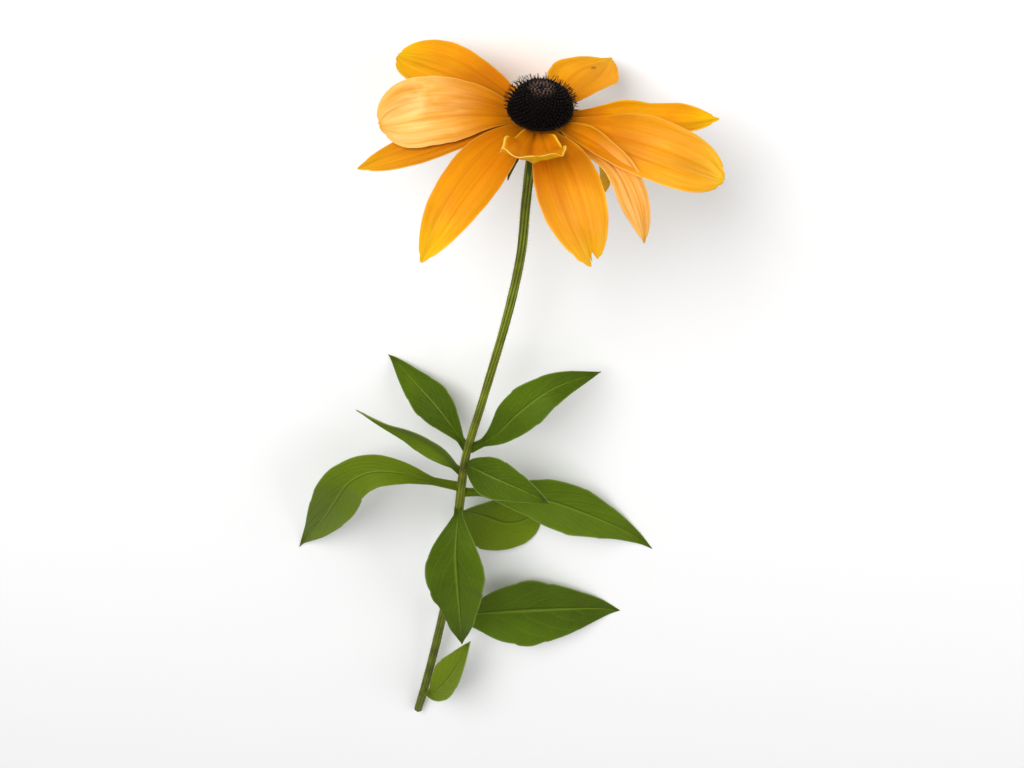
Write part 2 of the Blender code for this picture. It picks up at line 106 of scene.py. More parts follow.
# Ray florets, the petals
RAY_ROOT_RADIUS = 7.4 * MM
RAY_ROOT_HEIGHT = -2.9 * MM
RAY_HUB_RADIUS = 8.6 * MM
RAY_HUB_THICKNESS = 1.5 * MM
RAY_ROWS = 60
RAY_COLUMNS = 28
RAY_CROWDING = 1.7
# Each ray: azimuth in degrees, 0 at +X and 90 towards the table; swing of its heading by the tip;
# length and width in mm; where it is widest; slopes at root, middle and tip in degrees; roll at
# root and tip in degrees; cup and fold as parts of its half width; notch as a part of its length;
# point
RAYS = (
    ("right", 9, -3, 54, 14, 0.66, (0, -6, 8), (0, 20), 0.15, 0.10, 0.00, 1.7),
    ("right_hanging", 20, -14, 43, 17, 0.60, (-16, -72, -84), (0, 0), 0.20, 0.00, 0.02, 2.2),
    ("back_right", 57, 9, 43, 24, 0.50, (14, -10, -14), (0, 0), 0.15, 0.00, 0.00, 1.35),
    ("back", 88, -8, 46, 20, 0.60, (-10, -36, -40), (0, 0), 0.15, 0.00, 0.02, 2.3),
    ("back_left", 116, -10, 46, 20, 0.60, (-8, -34, -38), (0, 0), 0.15, 0.00, 0.02, 2.3),
    ("left_high", 144, 6, 54, 20.5, 0.60, (8, -2, -12), (-12, -22), 0.10, 0.00, 0.01, 2.6),
    ("left", 178, 20, 47, 25, 0.60, (10, -2, -16), (-16, -38), 0.10, 0.00, 0.01, 2.8),
    ("left_low", 199, -8, 56, 15, 0.60, (-4, -14, -16), (-8, -8), 0.15, 0.00, 0.00, 1.8),
    ("front_left", 232, -2, 59, 19.5, 0.45, (4, -31, -46), (-10, -14), 0.15, 0.00, 0.01, 1.9),
    ("front", 264, 14, 36, 21, 0.60, (14, 18, 66), (0, 0), 0.05, 0.25, 0.00, 1.9),
    ("front_right", 287, 10, 52, 22, 0.50, (2, -23, -44), (8, 4), 0.12, 0.00, 0.05, 2.2),
    ("right_twisted", 329, -25, 52, 10, 0.68, (-3, -28, -77), (15, 47), 0.30, 0.20, 0.00, 1.6),
    ("right_low", 338, 12, 58, 24.5, 0.60, (2, -6, -22), (12, 20), 0.10, 0.00, 0.02, 2.5),
)
RAY_ROOT_WIDTH = 0.20
RAY_ROOT_RISE = 1.0
RAY_TIP_WIDTH = 0.05
RAY_NOTCH_REACH = 0.3
RAY_PLEAT = 0.05
RAY_GROOVE_WIDTH = 0.10
RAY_GROOVE_SWAY = 0.05
RAY_CREASE_SHARE = 0.45
RAY_PUCKER = 0.16
RAY_EDGE_SWAY = 0.025
RAY_EDGE_RUFFLE = 0.008
# Two small nicks at each tip: places across, depths, width, and where along the petal they begin
NICK_PLACES = ((-0.30, -0.12), (0.12, 0.30))
NICK_DEPTHS = (0.008, 0.016)
NICK_WIDTH = 0.05
NICK_START = 0.80
# What is each ray's own beyond its form: grooves across it; edge ruffle; waves along the edge; splits
# at the tip, each as its place across, its depth and its width; then how golden the tip is, how much
# painted sheen it has (a pale wash that stands in for light off its ridges), how golden its rim is, and
# how much deeper its colour is than the others', which is partly painted shade and painted light
RAY_DETAILS = {
    "right": ((-0.10,), 1.7, 1.9, [], 1.10, 0.03, 0.80, 0.15),
    # Its extra gold and its depth below 0 are painted light on a ray that lies in shade
    "right_hanging": ((-0.36, 0.36), 0.8, 1.5, [], 2.00, 0.00, 0.80, -0.40),
    "back_right": ((-0.36, 0.30), 1.0, 1.7, [], 0.75, 0.06, 0.45, -0.20),
    "back": ((-0.36, 0.36), 1.0, 1.6, [], 0.40, 0.10, 0.25, 0.05),
    "back_left": ((-0.36, 0.36), 1.0, 2.1, [], 0.40, 0.10, 0.25, 0.05),
    "left_high": ((-0.45, 0.10), 0.8, 1.2, [], 0.85, 0.04, 0.35, 0.36),
    "left": ((0.12,), 0.9, 1.8, [], 0.45, 1.20, 0.30, 0.05),
    "left_low": ((-0.30, 0.36), 0.8, 1.3, [], 0.50, 0.05, 0.30, 0.60),
    "front_left": ((-0.40, 0.15), 0.8, 1.4, [], 1.00, 0.08, 0.30, 0.20),
    # Its deeper colour is painted shade, as it faces away from the light
    "front": ((-0.45, 0.0, 0.45), 2.2, 2.8, [], 0.10, 0.00, 1.80, 0.62),
    "front_right": ((-0.36, 0.30), 1.0, 2.2, [(0.10, 0.085, 0.07), (-0.50, 0.030, 0.05)],
                    0.75, 0.16, 0.35, 0.34),
    "right_twisted": ((-0.30, 0.30), 1.2, 1.8, [], 0.90, 1.15, 0.45, 0.00),
    "right_low": ((-0.40, 0.16), 0.9, 1.5, [], 0.90, 0.24, 0.35, 0.10),
}
# The one ray with a small brown blemish
BLEMISHED_RAY = "back_right"
# The narrow ray at the right is a little wider near its root, then arches over its neighbour: how
# wide and how high, and the place along the ray and the reach of each
ARCHED_RAY = "right_twisted"
ARCH_SPREAD = (0.35, 0.20, 0.16)
ARCH_RISE = (2.4 * MM, 0.52, 0.20)
NO_BUMP = (0.0, 0.0, 1.0)

# Green cup under the rays with its turned-back bracts
CALYX_PROFILE = (
    (1.6, -12.2), (1.95, -10.9), (2.4, -9.5), (3.4, -8.4), (5.4, -6.8), (7.0, -5.2), (7.2, -3.95),
    (6.0, -3.4),
)
BRACT_COUNT = 13
BRACT_LENGTH = 16.0 * MM
BRACT_WIDTH = 3.6 * MM
BRACT_ROOT = (5.6 * MM, -6.2 * MM)
BRACT_SLOPES = (-30, -58, -78)
BRACT_SLOPE_STRAY = 6
# The bract beside the stem is longer than the others
BRACT_LONGEST = 8
BRACT_LONGEST_SHARE = 1.32
BRACT_FIRST = 0.3
BRACT_STRAY = 0.08
BRACT_LENGTHS = (0.85, 1.08)
BRACT_SINK = 2.0 * MM
BRACT_FOLD = 0.25
BRACT_ROWS = 18
BRACT_COLUMNS = 6
# Upper half of the disc that the petals stand on, with a thin skirt: radius as a part of the hub's,
# height as a part of its thickness
DISC_PROFILE = ((0.5 / 8.6, 0.5), (0.55, 0.5), (0.93, 0.4), (1.12, 0.10))

# Stem axis from the bloom to the cut end: x and y from the bloom's centre, z over the table, in mm
STEM_LINE = (
    (-0.3, -9.75, 46.15), (-2.2, -20, 44.1), (-3.2, -37, 41.2), (-4.2, -60, 37.6), (-8.5, -90, 32.4),
    (-16.0, -128, 26.2), (-22.4, -160, 21.6), (-24.8, -190, 17.4), (-28.0, -230, 12.5),
    (-33.2, -268, 8.3), (-38.6, -300, 5.0), (-42.0, -318, 1.95),
)
STEM_RADII = ((0.0, 2.1), (0.04, 1.8), (0.45, 1.6), (0.56, 2.0), (0.62, 1.8), (0.82, 1.9), (1.0, 1.9))
STEM_ROWS = 300
STEM_SIDES = 48
STEM_RIB = 0.05
STEM_RIBS = 6
STEM_FINE_RIB = 0.022
STEM_FINE_RIBS = 9
STEM_HATCH = 23
STEM_TWIST = 5.0
STEM_JOINT = 0.495
# Slight swells of the stem: size as a part of its radius, how fast they follow each other, start
STEM_SWELLS = ((0.012, 61.0, 0.0), (0.010, 143.0, 1.0))
# Rings of the cut face, as parts of the stem's radius
CUT_RINGS = (0.97, 0.82, 0.62, 0.42, 0.22, 0.02)

# Leaves: name; centre line in mm, given as the stem's axis is; direction the upper face looks;
# width in mm; where it is widest; cup as a part of its half width; edge wave in mm; waves; tip
# sharpness; roll towards the tip in degrees
LEAVES = (
    ("upper_right",
     ((-20.8, -155, 22.2), (-11, -146, 25.5), (-2.7, -134, 28), (6, -125.5, 27), (15, -121.8, 22.5),
      (29.7, -121, 13)),
     (-0.15, 0.45, 0.85), 17, 0.50, 0.20, 1.0, 1.5, 1.25, 0),
    ("upper_left",
     ((-21.4, -156, 22.1), (-28.3, -148, 18), (-36, -141, 12.5), (-46, -134, 5.5), (-56, -126, -1)),
     (0.1, 0.3, 0.95), 16, 0.50, 0.20, 0.6, 1.5, 1.3, 0),
    ("short_right",
     ((-22.9, -164, 21.0), (-19, -161, 27), (-10, -162, 32), (2, -166, 34), (12.5, -172, 33)),
     (-0.35, 0.5, 0.8), 17, 0.42, 0.20, 0.6, 1.0, 1.3, 0),
    ("long_right",
     ((-24.2, -179, 18.9), (-14.6, -177.5, 20), (-4.6, -178.6, 19), (11.5, -183.8, 15),
      (29, -194.5, 8.5), (45, -205.5, 3), (59.3, -217, -1.5)),
     (0.1, 0.4, 0.9), 22, 0.50, 0.22, 1.2, 2.0, 1.2, 0),
    ("under_right",
     ((-24.9, -191, 17.3), (-20.5, -195.5, 10.5), (-14, -203, 3.5), (-6, -207.5, 0.5), (2, -206, -0.5),
      (9.5, -199, -1)),
     (0.2, 0.1, 1.0), 29, 0.52, 0.12, 0.7, 1.5, 1.7, 0),
    ("front",
     ((-24.6, -187, 17.8), (-24.8, -190, 26), (-25, -204, 32), (-22.8, -232, 31), (-21.3, -257, 24)),
     (-0.1, 0.25, 1.0), 26, 0.40, 0.15, 1.3, 2.5, 1.25, 0),
    ("left",
     ((-24.3, -176, 19.3), (-36.8, -171, 23), (-47, -165.4, 27), (-59.6, -164, 29),
      (-69.5, -171, 28), (-77, -187, 21.5), (-85.2, -206.6, 11), (-95.5, -226.8, -1.5)),
     (0.1, 0.55, 0.8), 20, 0.55, 0.15, 0.8, 1.5, 1.25, 0),
    ("narrow_left",
     ((-23.4, -168, 20.5), (-29.1, -160.5, 24), (-34.7, -155, 25), (-43.9, -149, 25),
      (-54.5, -145, 24), (-66.7, -140.2, 21)),
     (-0.1, 0.3, 0.9), 11, 0.45, 0.20, 0.4, 1.0, 1.3, -70),
    ("lower_right",
     ((-31.0, -253, 10.0), (-20, -251.5, 10.5), (2, -250.5, 8), (28, -251, 3.2), (48, -252.7, -1.5)),
     (0.1, 0.1, 1.0), 36, 0.50, 0.14, 0.8, 1.5, 1.35, 0),
    ("lowest",
     ((-39.2, -303, 4.6), (-35.1, -300.3, 10), (-29, -289.4, 14), (-23.4, -276.3, 16), (-18, -261.3, 17)),
     (-0.6, 0.5, 0.6), 17, 0.48, 0.30, 0.4, 1.0, 1.4, 0),
)
# How much yellower and lighter each of these leaves is than the others, from 0 to 1: partly the yellower
# green of young leaves, partly painted light that lifts leaves lying in shade
YOUNG_AND_PAINTED_LIGHT_LEAVES = {
    "narrow_left": 0.35, "lowest": 1.00, "left": 0.55, "under_right": 0.70, "long_right": 0.15,
}
LEAF_BASE_WIDTH = 4.0 * MM
LEAF_TIP_WIDTH = 0.12 * MM
LEAF_ROWS = 76
LEAF_COLUMNS = 22
LEAF_CROWDING = 1.3
LEAF_RIB_HOLLOW = 0.6 * MM
LEAF_WAVE_LEAD = 1.3
LEAF_FINE_WAVE = 0.30
TOOTH_COUNTS = (4.5, 6.5)
TOOTH_DEPTH = 0.045
# Side veins: how many leave the midrib on each side, how far they lean forward by the edge, as a
# part of the blade's length, and their half width as a part of their spacing
VEIN_COUNT = 7
VEIN_LEAN = 0.34
VEIN_SPREAD = 0.13

# Stiff hairs: radius, depth of the root, spread of directions and lengths, lean, least height of a tip
HAIR_RADIUS = 0.032 * MM
HAIR_SINK = 0.06 * MM
HAIR_STRAY = 0.35
HAIR_LENGTHS = (0.6, 1.2)
HAIR_LEAN = (0.0, 0.15, 0.0)
HAIR_CLEARANCE = 0.02 * MM
# How many stand on each bract or leaf, and their length as a part of the stem hairs' length
CALYX_HAIRS = 60
CALYX_HAIR_SHARE = 0.75
LEAF_HAIRS = 320
LEAF_HAIR_SHARE = 0.55

# Steps along a blade's centre line, and between two chosen points of a smooth curve
LINE_STEPS = 48
CURVE_STEPS = 24
SETTLE_SOFTNESS = 0.5 * MM

# Camera: it stands above and behind the bloom, as far from it as in the photograph
CAMERA_DISTANCE = 0.50
CAMERA_ELEVATION = math.radians(68.99)
CAMERA_UP = Vector((-0.055, 0.852, -0.520))
CAMERA_AIM = Vector((0.012, 0.035, 0.030))
CAMERA_LENS = 52.0
# Soft square lights: name, place, size and share of the key light's power
LIGHTS = (
    ("key_light", (-0.45, 0.70, 0.90), 0.75, 1.0),
    ("rim_light", (0.70, 0.25, 0.55), 0.60, 0.22),
)
FLOOR_SIZE = 6.0


# Settings that a user may change

# What every colour setting has
COLOUR = {"subtype": "COLOR", "min": 0.0, "max": 1.0}


class PetalSettings(bpy.types.PropertyGroup):
    """Sizes and colours of the ray florets."""

    thickness: bpy.props.FloatProperty(
        name="Thickness", description="Thickness of a petal", default=0.34 * MM, min=0.2 * MM, unit="LENGTH")
    groove: bpy.props.FloatProperty(
        name="Groove depth", description="Depth of the grooves along a petal", default=0.50 * MM,
        unit="LENGTH")
    ruffle: bpy.props.FloatProperty(
        name="Edge ruffle", description="How far a petal's edge waves up and down", default=0.60 * MM,
        unit="LENGTH")
    colour: bpy.props.FloatVectorProperty(
        name="Colour", description="Upper face, half way along", default=(0.680, 0.262, 0.0010), **COLOUR)
    # Deeper orange beside the seed head, partly the petal's own colour and partly painted shade; also the
    # colour of the painted shade in the creases
    root_colour: bpy.props.FloatVectorProperty(
        name="Root colour", description="Upper face beside the seed head", default=(0.500, 0.142, 0.0008),
        **COLOUR)
    tip_colour: bpy.props.FloatVectorProperty(
        name="Tip colour", description="Golden tip and edges of the upper face",
        default=(0.690, 0.420, 0.0020), **COLOUR)
    # Pale colour of the painted sheen, which stands in for light off the ridges of the upper face
    painted_sheen_colour: bpy.props.FloatVectorProperty(
        name="Bloom colour", description="Pale bloom on the ridges of the upper face",
        default=(0.870, 0.470, 0.150), **COLOUR)
    under_colour: bpy.props.FloatVectorProperty(
        name="Underside colour", description="Yellower lower face", default=(0.720, 0.365, 0.0030), **COLOUR)


class HeadSettings(bpy.types.PropertyGroup):
    """Sizes and colours of the dark seed head and the green cup below it."""

    floret_height: bpy.props.FloatProperty(
        name="Floret height", description="How far a floret stands out of the cone", default=0.38 * MM,
        unit="LENGTH")
    style_height: bpy.props.FloatProperty(
        name="Style height", description="Length of the styles in the ring that is in flower",
        default=2.4 * MM, unit="LENGTH")
    colour: bpy.props.FloatVectorProperty(
        name="Floret colour", description="Nearly black purple brown", default=(0.0040, 0.0024, 0.0019),
        **COLOUR)
    apex_colour: bpy.props.FloatVectorProperty(
        name="Apex colour", description="Closed buds at the top of the cone", default=(0.105, 0.062, 0.048),
        **COLOUR)
    bract_thickness: bpy.props.FloatProperty(
        name="Bract thickness", description="Thickness of a green bract", default=0.55 * MM, unit="LENGTH")
    bract_colour: bpy.props.FloatVectorProperty(
        name="Bract colour", description="Green of the cup and its bracts", default=(0.050, 0.085, 0.006),
        **COLOUR)


class GreenSettings(bpy.types.PropertyGroup):
    """Sizes and colours of the stem, the leaves and the hairs."""

    leaf_thickness: bpy.props.FloatProperty(
        name="Leaf thickness", description="Thickness of a leaf", default=0.5 * MM, unit="LENGTH")
    vein_depth: bpy.props.FloatProperty(
        name="Vein depth", description="How deep the side veins lie in the upper face", default=0.24 * MM,
        unit="LENGTH")
    stem_colour: bpy.props.FloatVectorProperty(
        name="Stem colour", description="Green of the stem", default=(0.118, 0.142, 0.0080), **COLOUR)
    leaf_colour: bpy.props.FloatVectorProperty(
        name="Leaf colour", description="Upper face of a leaf", default=(0.062, 0.108, 0.0025), **COLOUR)
    vein_colour: bpy.props.FloatVectorProperty(
        name="Vein colour", description="Midrib and side veins", default=(0.130, 0.180, 0.012), **COLOUR)
    # Yellower green of young leaves, also painted light that lifts the leaves lying in shade
    lit_colour: bpy.props.FloatVectorProperty(
        name="Young leaf colour", description="Yellower green of the young leaves",
        default=(0.158, 0.220, 0.006), **COLOUR)
    hair_length: bpy.props.FloatProperty(
        name="Hair length", description="Length of the stiff hairs on the stem", default=1.1 * MM,
        unit="LENGTH")
    hair_count: bpy.props.IntProperty(
        name="Stem hairs", description="Number of hairs on the stem", default=1900, min=0)


class StageSettings(bpy.types.PropertyGroup):
    """The floor and the light."""

    floor_colour: bpy.props.FloatVectorProperty(
        name="Floor colour", description="Pale plain floor", default=(0.86, 0.86, 0.86), **COLOUR)
    key_power: bpy.props.FloatProperty(
        name="Key light", description="Power of the large soft light", default=12.5, min=0.0, unit="POWER")
    world_strength: bpy.props.FloatProperty(
        name="World strength", description="Light from all round", default=0.50, min=0.0)


# Curves and outlines


def unit(vectors):
    """Vectors scaled to length 1, along the last axis."""
    return vectors / np.linalg.norm(vectors, axis=-1, keepdims=True)


def bloom_axes():
    """The bloom's own X, its direction towards the table, and its facing direction."""
    sine = math.sin(BLOOM_TILT)
    cosine = math.cos(BLOOM_TILT)
    return np.array(((1.0, 0.0, 0.0), (0.0, sine, -cosine), (0.0, cosine, sine)))


def from_bloom(points):
    """Points in the bloom's own axes, moved to their place over the table."""
    return np.asarray(points) @ bloom_axes() + BLOOM_CENTRE


def on_table(points_mm):
    """Listed points, x and y from the bloom's centre in mm, as places in metres."""
    shift = np.array((BLOOM_CENTRE[0], BLOOM_CENTRE[1], 0.0))
    return np.array(points_mm, dtype=float) * MM + shift


def even_steps(line, count):
    """A line of points resampled at even steps of its length."""
    lengths = np.linalg.norm(np.diff(line, axis=0), axis=1)
    along = np.concatenate(((0.0,), np.cumsum(lengths)))
    wanted = np.linspace(0.0, along[-1], count)
    return np.stack([np.interp(wanted, along, line[:, axis]) for axis in range(line.shape[1])], axis=1)


def smooth_line(points, count):
    """Catmull-Rom curve through the points, sampled at even steps of its length."""
    first = 2 * points[0] - points[1]
    last = 2 * points[-1] - points[-2]
    knots = np.vstack((first, points, last))
    fine = []
    for index in range(1, len(knots) - 2):
        before, start, end, after = knots[index - 1:index + 3]
        for step in np.linspace(0.0, 1.0, CURVE_STEPS, endpoint=False):
            fine.append(0.5 * (2 * start + (end - before) * step
                               + (2 * before - 5 * start + 4 * end - after) * step ** 2
                               + (3 * start - before - 3 * end + after) * step ** 3))
    fine.append(knots[-2])
    return even_steps(np.array(fine), count)


def point_on(line, place):
    """Point and direction at a part of a line's length."""
    where = min(max(place, 0.0), 1.0) * (len(line) - 1)
    index = min(int(where), len(line) - 2)
    ahead = line[index + 1] - line[index]
    return line[index] + ahead * (where - index), unit(ahead)


def outline(along, widest, root, rise, point):
    """Half width from 0 to 1 along a blade: narrow root, widest part, then a rounded point."""
    if along < widest:
        return root + (1.0 - root) * math.sin(0.5 * math.pi * along / widest) ** rise
    return max(1.0 - ((along - widest) / (1.0 - widest)) ** point, 0.0) ** min(1.0, 1.5 / point)


def row_places(rows, crowding):
    """Places along a blade, closer together towards its tip, where its outline turns."""
    return 1.0 - (1.0 - np.linspace(0.0, 1.0, rows + 1)) ** crowding


def settled(grid, thickness):
    """Bend what would sink through the table so that it lies on it."""
    lowest = 0.5 * thickness
    height = (grid[..., 2] - lowest) / SETTLE_SOFTNESS
    grid[..., 2] = lowest + SETTLE_SOFTNESS * np.logaddexp(0.0, height)
    return grid


# Modelling


def deselect_all():
    """Leave nothing selected, so that an operator acts on what comes next alone."""
    if bpy.context.object is not None and bpy.context.object.mode != "OBJECT":
        bpy.ops.object.mode_set(mode="OBJECT")
    bpy.ops.object.select_all(action="DESELECT")


def name_piece(name):
    """Name the object that a primitive operator has just added."""
    piece = bpy.context.object
    piece.name = name
    piece.data.name = name
    return piece


def add_sheet(name, points, numbers=None):
    """A grid primitive with its vertices moved to rows and columns of points; it keeps its UV map.

    Each named table of numbers, one for each point, is stored on the mesh for its material to read.
    """
    rows = points.shape[0] - 1
    columns = points.shape[1] - 1
    deselect_all()
    bpy.ops.mesh.primitive_grid_add(x_subdivisions=columns, y_subdivisions=rows, size=1.0)
    piece = name_piece(name)
    flat = np.empty(len(piece.data.vertices) * 3)
    piece.data.vertices.foreach_get("co", flat)
    flat = flat.reshape(-1, 3)
    column = np.rint((flat[:, 0] + 0.5) * columns).astype(int)
    row = np.rint((flat[:, 1] + 0.5) * rows).astype(int)
    piece.data.vertices.foreach_set("co", points[row, column].astype(np.float32).ravel())
    for label, table in (numbers or {}).items():
        table = np.broadcast_to(table, points.shape[:2]).astype(np.float32)
        piece.data.attributes.new(label, "FLOAT", "POINT").data.foreach_set("value", table[row, column])
    piece.data.update()
    return piece


def apply_modifier(piece, name, kind, **settings):
    """Add a modifier to the active piece and apply it."""
    bpy.context.view_layer.objects.active = piece
    modifier = piece.modifiers.new(name, kind)
    for setting, value in settings.items():
        setattr(modifier, setting, value)
    bpy.ops.object.modifier_apply(modifier=modifier.name)


def finish_shape():
    """Turn all faces of the shape being edited outwards, and leave edit mode."""
    bpy.ops.mesh.select_all(action="SELECT")
    bpy.ops.mesh.normals_make_consistent(inside=False)
    bpy.ops.object.mode_set(mode="OBJECT")


def join_to_frame(piece, node):
    """Hide the node that the piece stands in for, and let the piece ride on the one body."""
    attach(piece, "root")
    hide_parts(node)


def add_blade(name, points, numbers, thickness, finishes, node):
    """A thin closed blade from rows of points, with rounded edges and its own underside."""
    piece = add_sheet(name, points, numbers)
    for material in finishes:
        piece.data.materials.append(material)
    apply_modifier(piece, "thickness", "SOLIDIFY", thickness=thickness, offset=0.0, use_even_offset=False,
                   material_offset=1, material_offset_rim=0)
    apply_modifier(piece, "smooth", "SUBSURF", levels=1, render_levels=1)
    piece.data.shade_smooth()
    join_to_frame(piece, node)


def add_tube(name, points, material, node):
    """A closed round piece from rings of points: its seam is welded and its two ends are filled."""
    piece = add_sheet(name, points)
    bpy.ops.object.mode_set(mode="EDIT")
    bpy.ops.mesh.select_all(action="SELECT")
    bpy.ops.mesh.remove_doubles(threshold=0.001 * MM)
    bpy.ops.mesh.fill_holes(sides=0)
    finish_shape()
    piece.data.shade_smooth()
    piece.data.materials.append(material)
    join_to_frame(piece, node)


def scatter(name, template, matrices, material):
    """Copies of a small closed shape, each with its own mesh and place, joined into one piece."""
    heights = np.array([vertex.co.z for vertex in template.data.vertices])
    numbers = template.data.attributes.new("height", "FLOAT", "POINT").data
    numbers.foreach_set("value", (heights / heights.max()).astype(np.float32))
    template.data.materials.append(material)
    template.data.shade_smooth()
    copies = []
    for matrix in matrices:
        copied = template.copy()
        copied.data = template.data.copy()
        copied.data.transform(Matrix(matrix))
        bpy.context.scene.collection.objects.link(copied)
        copies.append(copied)
    meshes = [copied.data for copied in copies[1:]]
    deselect_all()
    for copied in copies:
        copied.select_set(True)
    bpy.context.view_layer.objects.active = copies[0]
    bpy.ops.object.join()
    bpy.data.batch_remove(meshes)
    bpy.data.objects.remove(template, do_unlink=True)
    return name_piece(name)


def standing(place, direction, width, length, turn=0.0):
    """Matrix that stands a template of height 1 at a place, along a direction."""
    rotation = Vector(direction).to_track_quat("Z", "Y").to_matrix().to_4x4()
    size = Matrix.Diagonal((width, width, length, 1.0))
    return np.array(Matrix.Translation(Vector(place)) @ rotation @ Matrix.Rotation(turn, 4, "Z") @ size)


def surface_samples(piece, count, chance):
    """Random places on a mesh, even over its area, with the surface's direction there."""
    mesh = piece.data
    areas = np.cumsum([face.area for face in mesh.polygons])
    found = []
    for _ in range(count):
        face = mesh.polygons[int(np.searchsorted(areas, chance.random() * areas[-1]))]
        corners = [mesh.vertices[corner].co for corner in face.vertices]
        weights = [chance.random() + 0.05 for _ in corners]
        place = sum((corner * weight for corner, weight in zip(corners, weights)), Vector()) / sum(weights)
        found.append((place, face.normal.copy()))
    return found


# Materials


class Value:
    """A number that changes over a surface; arithmetic on it adds the Math nodes."""

    def __init__(self, finish, socket):
        self.finish = finish
        self.socket = socket

    def maths(self, operation, *terms, clamp=False):
        """One Math node of these terms."""
        settings = {"operation": operation, "use_clamp": clamp}
        node = self.finish.node("ShaderNodeMath", settings, dict(enumerate(terms)))
        return Value(self.finish, node.outputs[0])

    def __add__(self, other):
        return self.maths("ADD", self, other)

    def __radd__(self, other):
        return self.maths("ADD", other, self)

    def __sub__(self, other):
        return self.maths("SUBTRACT", self, other)

    def __rsub__(self, other):
        return self.maths("SUBTRACT", other, self)

    def __mul__(self, other):
        return self.maths("MULTIPLY", self, other)

    def __rmul__(self, other):
        return self.maths("MULTIPLY", other, self)

    def __pow__(self, other):
        return self.maths("POWER", self, other)

    def __abs__(self):
        return self.maths("ABSOLUTE", self)

    def clamped(self):
        """The value kept from 0 to 1."""
        return self.maths("ADD", self, 0.0, clamp=True)

    def fraction(self):
        """What is left after whole numbers."""
        return self.maths("FRACT", self)

    def wave(self):
        """The sine of the value."""
        return self.maths("SINE", self)

    def ramp(self, low, high):
        """A smooth step from 0 at low to 1 at high."""
        node = self.finish.node("ShaderNodeMapRange", {"interpolation_type": "SMOOTHSTEP"},
                                {"Value": self, "From Min": low, "From Max": high})
        return Value(self.finish, node.outputs["Result"])


class Finish:
    """A material under construction: its Principled shader and the one way to add a node."""

    def __init__(self, name, **constants):
        self.material = bpy.data.materials.new(name)
        self.material.use_nodes = True
        self.tree = self.material.node_tree
        self.shader = self.tree.nodes["Principled BSDF"]
        for socket, value in constants.items():
            self.shader.inputs[socket.replace("_", " ")].default_value = value

    def join(self, socket, value):
        """Set a socket to a number or colour, or link it to a varying value."""
        value = getattr(value, "socket", value)
        if isinstance(value, bpy.types.NodeSocket):
            self.tree.links.new(value, socket)
        else:
            socket.default_value = value

    def node(self, kind, settings=None, inputs=None):
        """Add a node: its settings first, then its sockets' values or links."""
        added = self.tree.nodes.new(kind)
        for setting, value in (settings or {}).items():
            setattr(added, setting, value)
        for socket, value in (inputs or {}).items():
            self.join(added.inputs[socket], value)
        return added

    def place(self):
        """Object coordinates, which are the row frame's own."""
        return self.node("ShaderNodeTexCoord").outputs["Object"]

    def across_and_along(self):
        """The piece's own UV map as two values."""
        split = self.node("ShaderNodeSeparateXYZ", None, {0: self.node("ShaderNodeTexCoord").outputs["UV"]})
        return Value(self, split.outputs[0]), Value(self, split.outputs[1])

    def attribute(self, name):
        """A number stored on the mesh."""
        return Value(self, self.node("ShaderNodeAttribute", {"attribute_name": name}).outputs["Fac"])

    def strands(self, x, y, z, detail):
        """Noise drawn out along a blade, over a place made of three values."""
        place = self.node("ShaderNodeCombineXYZ", None, {0: x, 1: y, 2: z}).outputs[0]
        return self.noise(place, 1.0, detail)

    def distance(self, place, point):
        """How far a place is from a point."""
        node = self.node("ShaderNodeVectorMath", {"operation": "DISTANCE"}, {0: place, 1: tuple(point)})
        return Value(self, node.outputs["Value"])

    def noise(self, place, scale, detail=2.0, roughness=0.5):
        """Noise from about 0.25 to 0.75."""
        node = self.node("ShaderNodeTexNoise", None,
                         {"Vector": place, "Scale": scale, "Detail": detail, "Roughness": roughness})
        return Value(self, node.outputs["Fac"])

    def mix(self, first, second, share):
        """The first colour turned into the second by a share from 0 to 1."""
        node = self.node("ShaderNodeMix", {"data_type": "RGBA", "clamp_factor": True},
                         {0: share, 6: first, 7: second})
        return node.outputs[2]

    def tone(self, colour, amount):
        """A colour made lighter or darker by a varying amount around 1."""
        return self.node("ShaderNodeVectorMath", {"operation": "SCALE"},
                         {0: colour, "Scale": amount}).outputs[0]

    def bump(self, height, distance, strength=1.0, below=None):
        """A Bump node over a height from 0 to 1, of a real depth in metres."""
        inputs = {"Height": height, "Distance": distance, "Strength": strength}
        if below is not None:
            inputs["Normal"] = below
        return self.node("ShaderNodeBump", None, inputs).outputs[0]

    def dress(self, colour=None, roughness=None, normal=None):
        """Feed the shader with what varies over the surface."""
        for socket, value in (("Base Color", colour), ("Roughness", roughness), ("Normal", normal)):
            if value is not None:
                self.join(self.shader.inputs[socket], value)
        return self.material


def rgba(colour, scale=1.0):
    """A colour with full alpha, lighter or darker."""
    return (colour[0] * scale, colour[1] * scale, colour[2] * scale, 1.0)


